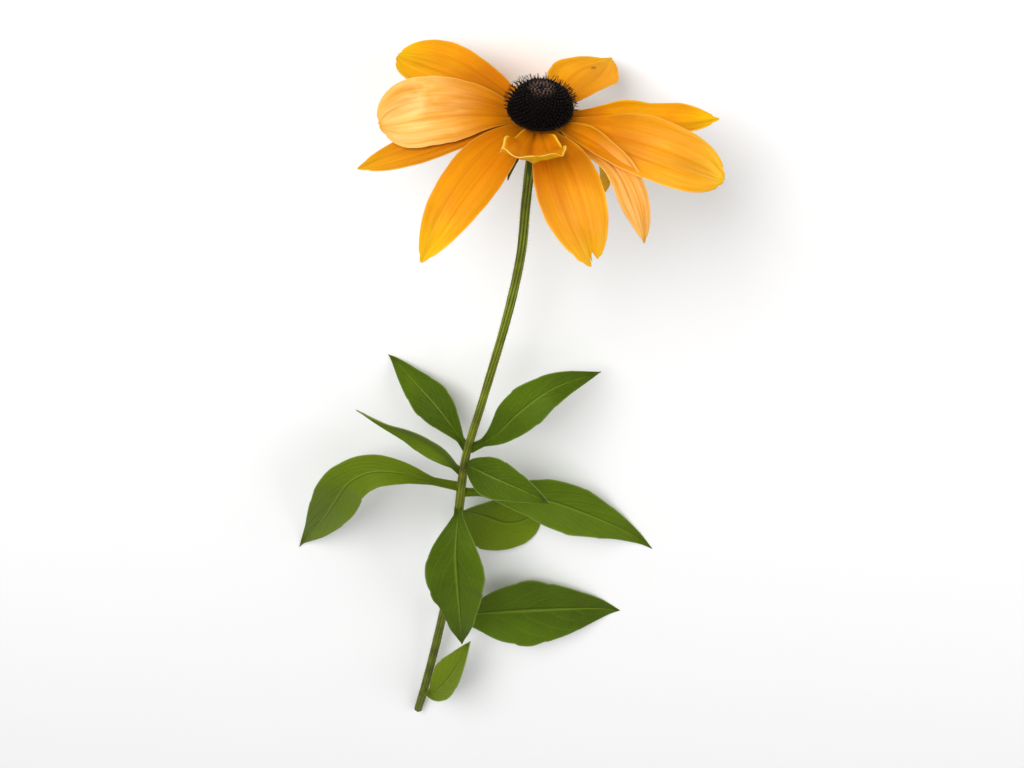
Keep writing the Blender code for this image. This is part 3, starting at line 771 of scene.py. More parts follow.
def petal_face(look):
    """Orange, golden at tip and edges, deeper at the root, partly its own colour and partly painted shade;
    painted shade in the creases and beside the seed head, a painted sheen on the ridges and a painted
    highlight along the edges.
    """
    finish = Finish("petal_face", Subsurface_Weight=0.06, Subsurface_Scale=0.0008,
                    Subsurface_Radius=(1.0, 0.35, 0.03), Specular_IOR_Level=0.03)
    across, along = finish.across_and_along()
    place = finish.place()
    side = abs(across * 2.0 - 1.0)
    wander = finish.noise(place, 16.0)
    broad = finish.strands(across * 2.4, along * 1.2, wander * 5.0, 1.0)
    streaks = finish.strands(across * 22.0, along * 1.5, wander * 6.0, 3.0)
    bands = finish.strands(across * 6.0, along * 1.1, wander * 9.0, 2.0)
    threads = finish.strands(across * 95.0, along * 4.0, 3.0, 2.0)
    patches = finish.noise(place, 55.0, 3.0)
    cells = finish.noise(place, 5200.0, 2.0)
    gold = finish.attribute("gold")
    rim = finish.attribute("rim")
    crease = finish.attribute("crease")
    # Deeper towards the root, partly the petal's own colour and partly painted shade beside the seed head;
    # the depth number adds each ray's own deepening, partly painted shade and painted light
    root = 1.0 - along.ramp(0.04, 0.50)
    tip = along.ramp(0.40, 1.0)
    deep = root * 0.90 + finish.attribute("depth") + (bands - 0.5) * 1.3
    colour = finish.mix(rgba(look.colour), rgba(look.root_colour), deep.clamped())
    edge = (side.ramp(0.88, 1.0) + along.ramp(0.95, 1.0)) * rim * (0.35 + patches * 1.3)
    golden = tip * gold + edge + (patches - 0.5) * gold
    golden = golden * (0.85 + (bands - 0.5) * 2.0 + (streaks - 0.5) * 1.2)
    colour = finish.mix(colour, rgba(look.tip_colour), golden.clamped())
    # Painted sheen: a pale wash on the ridges and bands that stands in for light off the velvety face,
    # weaker in the creases and towards the tip
    painted_sheen_share = bands * 1.6 - 0.25 + (streaks - 0.5) * 0.9
    painted_sheen_share = finish.attribute("bloom") * painted_sheen_share * along.ramp(0.10, 0.50) * (1.0 - crease * 0.6)
    painted_sheen_share = painted_sheen_share * (1.0 - along.ramp(0.84, 1.0) * 0.8)
    # Painted highlight along the edges, where they catch the light, weaker by the root
    painted_edge_highlight = side.ramp(0.955, 0.995) * (0.42 + rim * 0.30 - root * 0.3)
    colour = finish.mix(colour, rgba(look.painted_sheen_colour), (painted_sheen_share + painted_edge_highlight).clamped())
    shading = 1.0 + (broad - 0.5) * 0.60 + (bands - 0.5) * 0.30 + (streaks - 0.5) * 0.30
    colour = finish.tone(colour, shading + (threads - 0.5) * 0.22 + (patches - 0.5) * 0.20)
    # Painted shade in the creases, in the deeper root colour, lighter towards the tip
    colour = finish.mix(colour, rgba(look.root_colour, 0.95), (crease * (0.42 - tip * 0.16)).clamped())
    # Painted shadow of the seed head on the roots of the petals
    shade = 1.0 - along.ramp(0.0, 0.15)
    colour = finish.mix(colour, (0.200, 0.052, 0.001, 1.0), shade * 0.55)
    spot = ((across - 0.44) ** 2.0 + (along - 0.50) ** 2.0 * 2.2).ramp(0.0008, 0.0030)
    blemish = finish.attribute("blemish") * (1.0 - spot)
    colour = finish.mix(colour, (0.26, 0.075, 0.004, 1.0), blemish * 0.75)
    grain = finish.bump(cells, 0.03 * MM, 0.5)
    relief = finish.bump(bands, 0.50 * MM, 0.8, grain)
    normal = finish.bump(streaks * 0.6 + threads * 0.4, 0.22 * MM, 0.85, relief)
    return finish.dress(colour, 0.55 + (streaks - 0.5) * 0.25, normal)


def petal_underside(look):
    """Yellower and duller than the face, with veins that stand out and a green root."""
    finish = Finish("petal_underside", Subsurface_Weight=0.08, Subsurface_Scale=0.0010,
                    Subsurface_Radius=(1.0, 0.45, 0.03), Specular_IOR_Level=0.05)
    across, along = finish.across_and_along()
    streaks = finish.strands(across * 26.0, along * 2.0, 9.0, 3.0)
    patches = finish.noise(finish.place(), 60.0, 3.0)
    green = 1.0 - along.ramp(0.0, 0.22)
    colour = finish.mix(rgba(look.under_colour), (0.38, 0.27, 0.008, 1.0), green * 0.7)
    colour = finish.tone(colour, 0.98 + (streaks - 0.5) * 0.40 + (patches - 0.5) * 0.2)
    return finish.dress(colour, 0.6 + (streaks - 0.5) * 0.2, finish.bump(streaks, 0.4 * MM, 0.8))


def cone_core_finish(look):
    """Soot dark body between the florets."""
    finish = Finish("cone_core", Roughness=0.9, Specular_IOR_Level=0.1)
    lumps = finish.noise(finish.place(), 900.0, 3.0)
    colour = finish.mix(rgba(look.colour, 0.3), rgba(look.colour, 1.0), lumps)
    return finish.dress(colour, None, finish.bump(lumps, 0.3 * MM))


def floret_finish(name, base, tip_scale, shadow, painted_glint, fade_to=None):
    """Florets with painted highlights on their tips, some browner or with bluish painted glints, and painted
    shade at their feet; those at the apex fade to dark outwards, with painted shade in the apex dimple.
    """
    finish = Finish(name, Specular_IOR_Level=0.08)
    height = finish.attribute("height")
    place = finish.place()
    lumps = finish.noise(place, 800.0, 2.0)
    other = finish.noise(place, 430.0, 2.0)
    # Painted highlights on the tips, some with bluish painted glints; elsewhere the shadow share darkens the
    # colour, painted shade at the florets' feet
    shine = (height.ramp(0.45, 1.0) * (lumps * 2.6 - 0.85)).clamped()
    tint = finish.mix(rgba(base, tip_scale), (base[0] * 1.6, base[1] * 2.0, base[2] * 3.4, 1.0),
                      other.ramp(0.52, 0.66) * painted_glint)
    colour = finish.mix(rgba(base, shadow), tint, shine)
    if fade_to is not None:
        apex = from_bloom((0.0, 0.0, CONE_WAIST + CONE_RISE - APEX_DIMPLE))
        outward = finish.distance(place, apex)
        # Darker outwards towards the older florets, and darker again at the very centre: painted shade in
        # the apex dimple
        fade = outward.ramp(2.2 * MM, 5.6 * MM) + (1.0 - outward.ramp(0.3 * MM, 1.1 * MM)) * 0.8
        colour = finish.mix(colour, rgba(fade_to), fade.clamped())
    return finish.dress(colour, 0.62 - height * 0.2, finish.bump(lumps, 0.1 * MM))


def calyx_finish(look):
    """Dark green, rough with short hairs, paler along the ribs."""
    finish = Finish("calyx_green", Sheen_Weight=0.06, Sheen_Roughness=0.6, Sheen_Tint=(0.85, 1.0, 0.5, 1.0),
                    Specular_IOR_Level=0.2)
    across, along = finish.across_and_along()
    mottle = finish.noise(finish.place(), 260.0, 4.0)
    rib = 1.0 - abs(across - 0.5).ramp(0.0, 0.12)
    colour = finish.mix(rgba(look.bract_colour, 0.6), rgba(look.bract_colour, 1.5),
                        mottle * 0.7 + rib * 0.25)
    colour = finish.tone(colour, 0.8 + along * 0.3)
    return finish.dress(colour, 0.62, finish.bump(mottle, 0.25 * MM, 0.9))


def receptacle_finish():
    """Brownish orange disc that the petals stand on."""
    finish = Finish("receptacle", Roughness=0.7, Specular_IOR_Level=0.1)
    mottle = finish.noise(finish.place(), 400.0, 3.0)
    colour = finish.mix((0.150, 0.050, 0.003, 1.0), (0.330, 0.120, 0.003, 1.0), mottle)
    return finish.dress(colour, None, finish.bump(mottle, 0.2 * MM))


def stem_finish(look):
    """Green with dark and pale ribs, brown flecks, a brown joint and a pale cut face."""
    finish = Finish("stem_green", Sheen_Weight=0.05, Sheen_Roughness=0.5,
                    Sheen_Tint=(0.85, 0.95, 0.65, 1.0), Specular_IOR_Level=0.12)
    around, along = finish.across_and_along()
    place = finish.place()
    turn = 2.0 * math.pi
    stripes = (around * (STEM_FINE_RIBS * turn) + along * (STEM_TWIST * turn)).wave() * 0.5 + 0.5
    hatch = (around * (STEM_HATCH * turn) + along * (STEM_TWIST * 2.5 * turn)).wave() * 0.5 + 0.5
    mottle = finish.noise(place, 170.0, 4.0)
    drift = finish.noise(place, 60.0, 2.0)
    flecks = finish.noise(place, 900.0, 2.0).ramp(0.60, 0.72)
    # Pale stripes along the ribs, paler towards the bloom: partly the ribs' own paler green, partly painted
    # highlight
    pale = stripes.ramp(0.15, 0.85) * (1.15 - along * 0.9) * (drift * 1.4) + (hatch - 0.5) * 0.30
    colour = finish.mix(rgba(look.stem_colour, 0.48), rgba(look.stem_colour, 2.0),
                        (pale + (mottle - 0.42) * 1.1).clamped())
    colour = finish.mix(colour, (0.08, 0.045, 0.012, 1.0), flecks * 0.25)
    joint = abs(along - STEM_JOINT).ramp(0.0, 0.012)
    colour = finish.mix((0.085, 0.055, 0.014, 1.0), colour, (joint + (mottle - 0.4) * 0.8).clamped())
    first_ring = STEM_ROWS / (STEM_ROWS + len(CUT_RINGS))
    cut = along.ramp(first_ring + 0.001, first_ring + 0.003)
    pith = along.ramp(first_ring + 0.006, first_ring + 0.010)
    flesh = finish.mix((0.16, 0.21, 0.03, 1.0), (0.58, 0.62, 0.36, 1.0), pith)
    colour = finish.mix(colour, flesh, cut)
    relief = finish.bump(stripes * 0.6 + mottle * 0.4, 0.20 * MM, 0.9)
    return finish.dress(colour, 0.50 + (mottle - 0.5) * 0.3, relief)


def leaf_veins(finish):
    """How far out and how far along a leaf, then its midrib, the line beside it and the side veins."""
    across, along = finish.across_and_along()
    side = abs(across * 2.0 - 1.0)
    midrib = 1.0 - side.ramp(0.0, 0.075)
    beside = 1.0 - abs(across * 2.0 - 0.93).ramp(0.0, 0.055)
    phase = (along - side ** 1.25 * VEIN_LEAN) * VEIN_COUNT
    branch = 1.0 - abs(phase.fraction() - 0.5).ramp(0.0, VEIN_SPREAD)
    branch = branch * (1.0 - side.ramp(0.75, 1.0)) * side.ramp(0.0, 0.10) * along.ramp(0.02, 0.1)
    return side, along, midrib, beside, branch


def leaf_face(look):
    """Deep yellow green with a sunken midrib, faint side veins and small puckers between them; painted shade
    beside the midrib and towards the base, a pale margin, partly edge hairs and partly painted sheen, and a
    yellower green that is partly young leaves' own and partly painted light.
    """
    finish = Finish("leaf_face", Sheen_Weight=0.04, Sheen_Roughness=0.5, Sheen_Tint=(0.80, 1.0, 0.45, 1.0),
                    Specular_IOR_Level=0.08)
    side, along, midrib, beside, branch = leaf_veins(finish)
    place = finish.place()
    patches = finish.noise(place, 45.0, 3.0)
    broad = finish.noise(place, 16.0, 1.0)
    net = finish.node("ShaderNodeTexVoronoi", {"feature": "DISTANCE_TO_EDGE"},
                      {"Vector": place, "Scale": 520.0}).outputs["Distance"]
    net = 1.0 - Value(finish, net).ramp(0.0, 0.16)
    cells = finish.noise(place, 1600.0, 3.0)
    colour = finish.mix(rgba(look.leaf_colour, 0.62), rgba(look.leaf_colour, 1.50),
                        (patches * 1.3 + broad * 1.6 - 0.95 + (cells - 0.5) * 0.4).clamped())
    # Each leaf's light number mixes in the yellower green, more towards the edges: partly young leaves' own
    # colour, partly painted light
    light = finish.attribute("light") * (0.75 + side * 0.25)
    colour = finish.mix(colour, rgba(look.lit_colour), light.clamped())
    colour = finish.mix(colour, rgba(look.vein_colour), branch * 0.16 + net * 0.07)
    colour = finish.mix(colour, rgba(look.vein_colour, 1.30), midrib * 0.60)
    # Painted shade: a dark line beside the midrib, where the blade folds
    colour = finish.mix(colour, rgba(look.leaf_colour, 0.45), beside * 0.60)
    # Pale margin: partly the pale edge hairs, partly painted sheen
    colour = finish.mix(colour, (0.250, 0.310, 0.090, 1.0), side.ramp(0.93, 1.0) * 0.50)
    # Darker towards the base: painted shade
    colour = finish.tone(colour, 0.90 + along * 0.16)
    height = (1.0 - branch * 0.7) * (1.0 - net * 0.25)
    grain = finish.bump(cells, 0.08 * MM, 0.7)
    folded = finish.bump(side, 1.30 * MM, 1.0, grain)
    return finish.dress(colour, 0.50 + (patches - 0.5) * 0.25, finish.bump(height, 0.24 * MM, 0.9, folded))


def leaf_underside():
    """Paler and duller than the face, with veins that stand out."""
    finish = Finish("leaf_underside", Sheen_Weight=0.03, Sheen_Roughness=0.6,
                    Sheen_Tint=(0.85, 1.0, 0.6, 1.0), Specular_IOR_Level=0.08)
    _, _, midrib, _, branch = leaf_veins(finish)
    place = finish.place()
    patches = finish.noise(place, 50.0, 3.0)
    cells = finish.noise(place, 1500.0, 3.0)
    colour = finish.mix((0.105, 0.160, 0.020, 1.0), (0.150, 0.215, 0.036, 1.0), patches)
    colour = finish.mix(colour, (0.23, 0.29, 0.07, 1.0), midrib * 0.8 + branch * 0.5)
    return finish.dress(colour, 0.68, finish.bump(branch * 0.8 + cells * 0.2, 0.30 * MM, 0.8))


def hair_finish():
    """Pale stiff hairs, lighter at the tip."""
    finish = Finish("hair_pale", Roughness=0.5, Specular_IOR_Level=0.2)
    colour = finish.mix((0.13, 0.17, 0.02, 1.0), (0.42, 0.48, 0.20, 1.0), finish.attribute("height"))
    return finish.dress(colour)


def floor_finish(look):
    """Pale plain floor."""
    finish = Finish("floor_pale", Roughness=0.9, Specular_IOR_Level=0.1)
    grain = finish.noise(finish.place(), 30.0, 2.0)
    colour = finish.mix(rgba(look.floor_colour, 0.995), rgba(look.floor_colour, 1.005), grain)
    return finish.dress(colour)


# Petals


def ray_line(azimuth, swing, length, slopes):
    """Centre line of a ray in the bloom's axes."""
    root, middle, tip = (math.radians(slope) for slope in slopes)
    points = [np.array((RAY_ROOT_RADIUS * math.cos(azimuth), RAY_ROOT_RADIUS * math.sin(azimuth),
                        RAY_ROOT_HEIGHT))]
    for step in range(LINE_STEPS):
        part = (step + 0.5) / LINE_STEPS
        slope = (root * (1 - part) * (1 - 2 * part) + 4 * middle * part * (1 - part)
                 + tip * part * (2 * part - 1))
        heading = azimuth + swing * part
        points.append(points[-1] + length / LINE_STEPS * np.array(
            (math.cos(slope) * math.cos(heading), math.cos(slope) * math.sin(heading), math.sin(slope))))
    return np.array(points)


def ray_sides(forward, roll):
    """Side and face directions of a ray's cross-section."""
    outward = np.array((forward[0], forward[1], 0.0))
    side = unit(np.cross((0.0, 0.0, 1.0), unit(outward)))
    face = np.cross(forward, side)
    turned = side * math.cos(roll) + face * math.sin(roll)
    return turned, np.cross(forward, turned)


def bump_at(place, bump):
    """Height at a place of a smooth bump, given as its size, its place and its reach."""
    size, middle, reach = bump
    return size * math.exp(-((place - middle) / reach) ** 2)


def ray_points(ray, look, chance):
    """Middle surface of one petal, grooved, ruffled and nicked at the tip, and where it is creased."""
    name, azimuth, swing, length, width, widest, slopes, rolls, cup, fold, notch, point = ray
    grooves, ruffle, waves, splits = RAY_DETAILS[name][:4]
    line = ray_line(math.radians(azimuth), math.radians(swing), length * MM, slopes)
    rolls = np.radians(rolls)
    phases = [chance.uniform(0.0, 2 * math.pi) for _ in range(4)]
    nicks = [(chance.uniform(*places), chance.uniform(*NICK_DEPTHS), NICK_WIDTH) for places in NICK_PLACES]
    nicks += splits
    bumps = (ARCH_SPREAD, ARCH_RISE) if name == ARCHED_RAY else (NO_BUMP, NO_BUMP)
    grid = []
    creases = []
    for place in row_places(RAY_ROWS, RAY_CROWDING):
        form = max(outline(place, widest, RAY_ROOT_WIDTH, RAY_ROOT_RISE, point), RAY_TIP_WIDTH)
        spread, rise = (bump_at(place, bump) for bump in bumps)
        half = 0.5 * width * MM * (form + spread)
        middle = math.sin(math.pi * min(place * 1.05, 1.0))
        late = min(max((place - NICK_START) / (1.0 - NICK_START), 0.0), 1.0)
        late = late ** 2 * (3 - 2 * late)
        row = []
        for across in np.linspace(1.0, -1.0, RAY_COLUMNS + 1):
            reach = place - notch * math.exp(-(across / RAY_NOTCH_REACH) ** 2) * place ** 6
            for spot, deep, wide in nicks:
                reach -= deep * math.exp(-((across * form - spot) / wide) ** 2) * late
            centre, forward = point_on(line, reach)
            centre = centre + np.array((0.0, 0.0, rise))
            side, face = ray_sides(forward, rolls[0] + (rolls[1] - rolls[0]) * place)
            pleat = -RAY_PLEAT * math.cos(3.0 * math.pi * across) * (1 - place)
            lift = half * (cup * across ** 2 + fold * abs(across) + pleat)
            crease = 0.0
            for groove, sway in zip(grooves, (1.0, -0.7, 0.5)):
                groove += RAY_GROOVE_SWAY * sway * math.sin(3.0 * place + phases[0])
                distance = abs(across - groove)
                lift -= look.groove * math.exp(-(distance / RAY_GROOVE_WIDTH) ** 2) * middle ** 0.6
                crease += math.exp(-(distance / (RAY_CREASE_SHARE * RAY_GROOVE_WIDTH)) ** 2) * middle ** 0.5
            lift += RAY_PUCKER * look.groove * math.sin(5.0 * across + 4.0 * place + phases[3]) * middle
            phase = phases[1] if across > 0 else phases[2]
            wave = math.sin(2 * math.pi * waves * place + phase) + 0.3 * math.sin(17.0 * place + 2 * phase)
            lift += look.ruffle * ruffle * abs(across) ** 3 * wave * middle ** 0.5
            edge = (RAY_EDGE_SWAY * math.sin(9.0 * place + phase)
                    + RAY_EDGE_RUFFLE * ruffle * math.sin(47.0 * place + phase))
            sideways = 1.0 + edge * abs(across) * middle
            row.append(centre + side * half * across * sideways + face * lift)
            creases.append(min(crease, 1.0))
        grid.append(row)
    points = settled(from_bloom(grid), look.thickness)
    return points, np.array(creases).reshape(points.shape[:2])


class FLOWER_OT_petals(bpy.types.Operator):
    """Model the ray florets, each a grooved blade with its own curve."""

    bl_idname = "flower.petals"
    bl_label = "Petals"

    def execute(self, context):
        look = context.scene.petal_look
        finishes = (petal_face(look), petal_underside(look))
        chance = random.Random(11)
        for ray in RAYS:
            points, creases = ray_points(ray, look, chance)
            # Gold, painted sheen (stored as bloom), rim and depth, the last partly painted shade and painted
            # light
            numbers = dict(zip(("gold", "bloom", "rim", "depth"), RAY_DETAILS[ray[0]][4:]))
            numbers["crease"] = creases
            numbers["blemish"] = float(ray[0] == BLEMISHED_RAY)
            add_blade("petal_" + ray[0], points, numbers, look.thickness, finishes, "ray_petals")
        return {"FINISHED"}


# Seed head


def turned_points(profile, rows, columns):
    """Rings of points round the bloom's axis from a smooth profile of radius and height."""
    line = smooth_line(np.array([(radius, height, 0.0) for radius, height in profile]), rows + 1)
    angles = np.linspace(0.0, 2 * math.pi, columns + 1)
    return from_bloom([[(radius * math.cos(angle), radius * math.sin(angle), height) for angle in angles]
                       for radius, height, _ in line])


def cone_place(part):
    """Radius and height on the cone, and the surface's direction there, from apex 0 to rim 1."""
    cosine = 1.0 + (math.cos(CONE_UNDER_ANGLE) - 1.0) * part
    sine = math.sqrt(1.0 - cosine ** 2)
    rise = CONE_RISE if cosine > 0 else CONE_UNDER
    outward = unit(np.array((sine / CONE_RADIUS, cosine / rise)))
    return CONE_RADIUS * sine, CONE_WAIST + rise * cosine, outward


def add_template(name, sides, radius, steps, forked=False):
    """Small shape drawn up from a disc: each step rises, moves sideways and changes its width."""
    deselect_all()
    bpy.ops.mesh.primitive_circle_add(vertices=sides, radius=radius, fill_type="NGON")
    piece = name_piece(name)
    bpy.ops.object.mode_set(mode="EDIT")
    for rise, sideways, scale in steps:
        bpy.ops.mesh.extrude_region_move(TRANSFORM_OT_translate={"value": (sideways, 0.0, rise)})
        bpy.ops.transform.resize(value=(scale, scale, 1.0))
    if forked:
        bpy.ops.mesh.select_all(action="SELECT")
        bpy.ops.mesh.duplicate_move(TRANSFORM_OT_translate={"value": (0.0, 0.0, 0.0)})
        bpy.ops.transform.resize(value=(-1.0, 1.0, 1.0), center_override=(0.0, 0.0, 0.0))
    finish_shape()
    return piece


def cone_matrices(look, chance):
    """Where every floret, every closed bud at the apex and every style stands on the cone."""
    florets = []
    buds = []
    styles = []
    for index in range(FLORET_COUNT):
        part = (index + 0.5) / FLORET_COUNT
        angle = index * GOLDEN_ANGLE
        radius, height, (outward, up) = cone_place(part)
        ring = np.array((math.cos(angle), math.sin(angle), 0.0))
        place = ring * radius + np.array((0.0, 0.0, height - APEX_DIMPLE * math.exp(-part / APEX_REACH)))
        young = part < APEX_SHARE * chance.uniform(*APEX_EDGE)
        wide, share, stray = BUD_SIZE if young else FLORET_SIZE
        lean = np.array([chance.uniform(-stray, stray) for _ in range(3)])
        direction = ring * outward + np.array((0.0, 0.0, up)) + lean
        base = from_bloom(place - unit(direction) * FLORET_SINK)
        tall = FLORET_SINK + look.floret_height * chance.uniform(*FLORET_HEIGHTS)
        turned = direction @ bloom_axes()
        matrix = standing(base, turned, wide * chance.uniform(*FLORET_WIDTHS), tall * share, angle)
        (buds if young else florets).append(matrix)
        in_flower = STYLE_BAND[0] < part < STYLE_BAND[1]
        if in_flower or (part >= STYLE_BAND[1] and index % 2 == 0):
            long = look.style_height * chance.uniform(*STYLE_LENGTHS)
            long *= 1.0 if in_flower else WITHERED_SHARE
            turn = chance.uniform(0.0, math.pi)
            styles.append(standing(from_bloom(place), turned, STYLE_WIDTH, long, turn))
    return florets, buds, styles


class FLOWER_OT_seed_head(bpy.types.Operator):
    """Model the dark cone: a core, its florets, the closed buds on top and the styles."""

    bl_idname = "flower.seed_head"
    bl_label = "Seed head"

    def execute(self, context):
        look = context.scene.head_look
        profile = []
        for part in np.linspace(0.004, 1.0, 26):
            radius, height, _ = cone_place(part)
            profile.append((radius * CONE_CORE_SHARE, CONE_WAIST + (height - CONE_WAIST) * CONE_CORE_SHARE))
        add_tube("cone_core", turned_points(profile, 40, 64), cone_core_finish(look), "cone")
        florets, buds, styles = cone_matrices(look, random.Random(5))
        dark = floret_finish("floret_dark", look.colour, tip_scale=2.6, shadow=0.3, painted_glint=0.7)
        brown = floret_finish("floret_young", look.apex_colour, tip_scale=1.10, shadow=0.65, painted_glint=0.0,
                              fade_to=look.colour)
        soot = floret_finish("style_dark", rgba(look.colour, 1.5), tip_scale=2.0, shadow=0.8, painted_glint=0.0)
        for name, template, matrices, material in (
                ("cone_florets", ("bud", *BUD_FORM), florets, dark),
                ("cone_young_florets", ("bud", *BUD_FORM), buds, brown),
                ("cone_styles", ("style", *STYLE_FORM), styles, soot)):
            join_to_frame(scatter(name, add_template(*template), matrices, material), "cone")
        return {"FINISHED"}


# Calyx


def bract_points(azimuth, length, slopes):
    """Middle surface of one bract."""
    radius, height = BRACT_ROOT
    outward = np.array((math.cos(azimuth), math.sin(azimuth), 0.0))
    side = np.array((-math.sin(azimuth), math.cos(azimuth), 0.0))
    up = np.array((0.0, 0.0, 1.0))
    place = outward * (radius - BRACT_SINK) + up * height
    grid = []
    for row in range(BRACT_ROWS + 1):
        part = row / BRACT_ROWS
        slope = np.interp(part, (0.0, 0.5, 1.0), slopes)
        half = 0.5 * BRACT_WIDTH * max(outline(part, 0.4, 0.8, 1.0, 1.5), 0.05)
        across = np.linspace(1.0, -1.0, BRACT_COLUMNS + 1)
        grid.append([place + side * half * step - up * BRACT_FOLD * half * abs(step) ** 1.5
                     for step in across])
        place = place + length / BRACT_ROWS * (outward * math.cos(slope) + up * math.sin(slope))
    return from_bloom(grid)


class FLOWER_OT_calyx(bpy.types.Operator):
    """Model the green cup, its bracts and the disc that the petals stand on."""

    bl_idname = "flower.calyx"
    bl_label = "Calyx"

    def execute(self, context):
        look = context.scene.head_look
        green = calyx_finish(look)
        profile = [(radius * MM, height * MM) for radius, height in CALYX_PROFILE]
        add_tube("calyx_cup", turned_points(profile, 40, 52), green, "calyx")
        chance = random.Random(7)
        for index in range(BRACT_COUNT):
            azimuth = 2 * math.pi * (index + BRACT_FIRST) / BRACT_COUNT
            azimuth += chance.uniform(-BRACT_STRAY, BRACT_STRAY)
            length = BRACT_LENGTH * chance.uniform(*BRACT_LENGTHS)
            length *= BRACT_LONGEST_SHARE if index == BRACT_LONGEST else 1.0
            slopes = [math.radians(slope + chance.uniform(-BRACT_SLOPE_STRAY, BRACT_SLOPE_STRAY))
                      for slope in BRACT_SLOPES]
            add_blade("bract_" + str(index + 1), bract_points(azimuth, length, slopes), None,
                      look.bract_thickness, (green, green), "calyx")
        upper = [(radius * RAY_HUB_RADIUS, height * RAY_HUB_THICKNESS) for radius, height in DISC_PROFILE]
        profile = [(radius, RAY_ROOT_HEIGHT + height) for radius, height in upper]
        profile += [(radius, RAY_ROOT_HEIGHT - height) for radius, height in reversed(upper)]
        add_tube("receptacle", turned_points(profile, 30, 48), receptacle_finish(), "ray_petals")
        return {"FINISHED"}


# Stem and leaves


def stem_points():
    """Rings of points down the stem, with ribs, ending in the cut face."""
    line = smooth_line(on_table(STEM_LINE), STEM_ROWS + 1)
    forward = unit(np.gradient(line, axis=0))
    side = unit(np.cross(forward, np.array((0.0, 0.0, 1.0))))
    up = np.cross(side, forward)
    places = np.linspace(0.0, 1.0, STEM_ROWS + 1)
    radii = np.interp(places, *zip(*STEM_RADII)) * MM
    angles = np.linspace(0.0, 2 * math.pi, STEM_SIDES + 1)
    cosines, sines = np.cos(angles)[:, None], np.sin(angles)[:, None]
    rings = []
    for index, place in enumerate(places):
        rib = 1.0 - STEM_RIB * np.cos(STEM_RIBS * angles)
        rib += STEM_FINE_RIB * np.cos(STEM_FINE_RIBS * angles + 2 * math.pi * STEM_TWIST * place)
        rib += sum(size * math.sin(rate * place + start) for size, rate, start in STEM_SWELLS)
        reach = radii[index] * rib[:, None]
        ring = line[index] + reach * (side[index] * cosines + up[index] * sines)
        ring[-1] = ring[0]
        rings.append(ring)
    last = rings[-1]
    rings += [line[-1] + (last - line[-1]) * share for share in CUT_RINGS]
    rings = np.array(rings)
    rings[..., 2] = np.maximum(rings[..., 2], 0.0)
    return rings


class FLOWER_OT_stem(bpy.types.Operator):
    """Model the ribbed stem with its cut face."""

    bl_idname = "flower.stem"
    bl_label = "Stem"

    def execute(self, context):
        add_tube("stem_ribbed", stem_points(), stem_finish(context.scene.green_look), "stem")
        return {"FINISHED"}


def vein_relief(place, across):
    """How deep a side vein lies at a place on a leaf, from 0 to 1."""
    side = abs(across)
    phase = (place - side ** 1.25 * VEIN_LEAN) * VEIN_COUNT
    distance = abs(phase - math.floor(phase) - 0.5)
    return math.exp(-(distance / VEIN_SPREAD) ** 2) * (1.0 - side ** 4) * min(place * 8.0, 1.0)


def leaf_points(leaf, look, chance):
    """Middle surface of one leaf: midrib, side veins, waved edges and a few low teeth."""
    _, points, face_hint, width, widest, cup, wave, waves, point, roll = leaf
    line = smooth_line(on_table(points), LINE_STEPS)
    teeth = chance.uniform(*TOOTH_COUNTS)
    first_tooth = chance.random()
    grid = []
    for place in row_places(LEAF_ROWS, LEAF_CROWDING):
        centre, forward = point_on(line, place)
        side = unit(np.cross(np.array(face_hint), forward))
        face = np.cross(forward, side)
        turn = math.radians(roll) * place
        side = side * math.cos(turn) + face * math.sin(turn)
        face = np.cross(forward, side)
        middle = math.sin(math.pi * place)
        half = 0.5 * width * MM * outline(place, widest, 0.0, 1.5, point)
        half = max(half, 0.5 * LEAF_BASE_WIDTH * (1 - place) ** 2, LEAF_TIP_WIDTH)
        tooth = place * teeth + first_tooth
        half *= 1.0 - TOOTH_DEPTH * ((tooth - math.floor(tooth)) ** 2 * middle ** 2)
        row = []
        for across in np.linspace(1.0, -1.0, LEAF_COLUMNS + 1):
            phase = 2 * math.pi * waves * place + (LEAF_WAVE_LEAD if across > 0 else 0.0)
            ruffle = wave * MM * across ** 2 * math.sin(phase) * middle
            fine = LEAF_FINE_WAVE * wave * MM * abs(across) ** 3 * math.sin(3.1 * phase + teeth)
            hollow = -LEAF_RIB_HOLLOW * (1 - abs(across)) ** 2 * middle
            veins = -look.vein_depth * vein_relief(place, across) * middle ** 0.5
            lift = half * cup * across ** 2 + ruffle + fine * middle + hollow + veins
            row.append(centre + side * half * across + face * lift)
        grid.append(row)
    return settled(np.array(grid), look.leaf_thickness)


class FLOWER_OT_leaves(bpy.types.Operator):
    """Model the leaves, each a veined blade that grows out of the stem."""

    bl_idname = "flower.leaves"
    bl_label = "Leaves"

    def execute(self, context):
        look = context.scene.green_look
        finishes = (leaf_face(look), leaf_underside())
        chance = random.Random(23)
        for leaf in LEAVES:
            add_blade("blade_" + leaf[0], leaf_points(leaf, look, chance),
                      {"light": YOUNG_AND_PAINTED_LIGHT_LEAVES.get(leaf[0], 0.0)}, look.leaf_thickness, finishes,
                      "leaf_" + leaf[0])
        return {"FINISHED"}


# Hairs


def add_hair():
    """Template of a hair: a three-sided spike of height 1."""
    deselect_all()
    bpy.ops.mesh.primitive_cone_add(
        vertices=3, radius1=1.0, radius2=0.0, depth=1.0, location=(0.0, 0.0, 0.5))
    piece = name_piece("hair")
    bpy.ops.object.transform_apply(location=True, rotation=True, scale=True)
    return piece


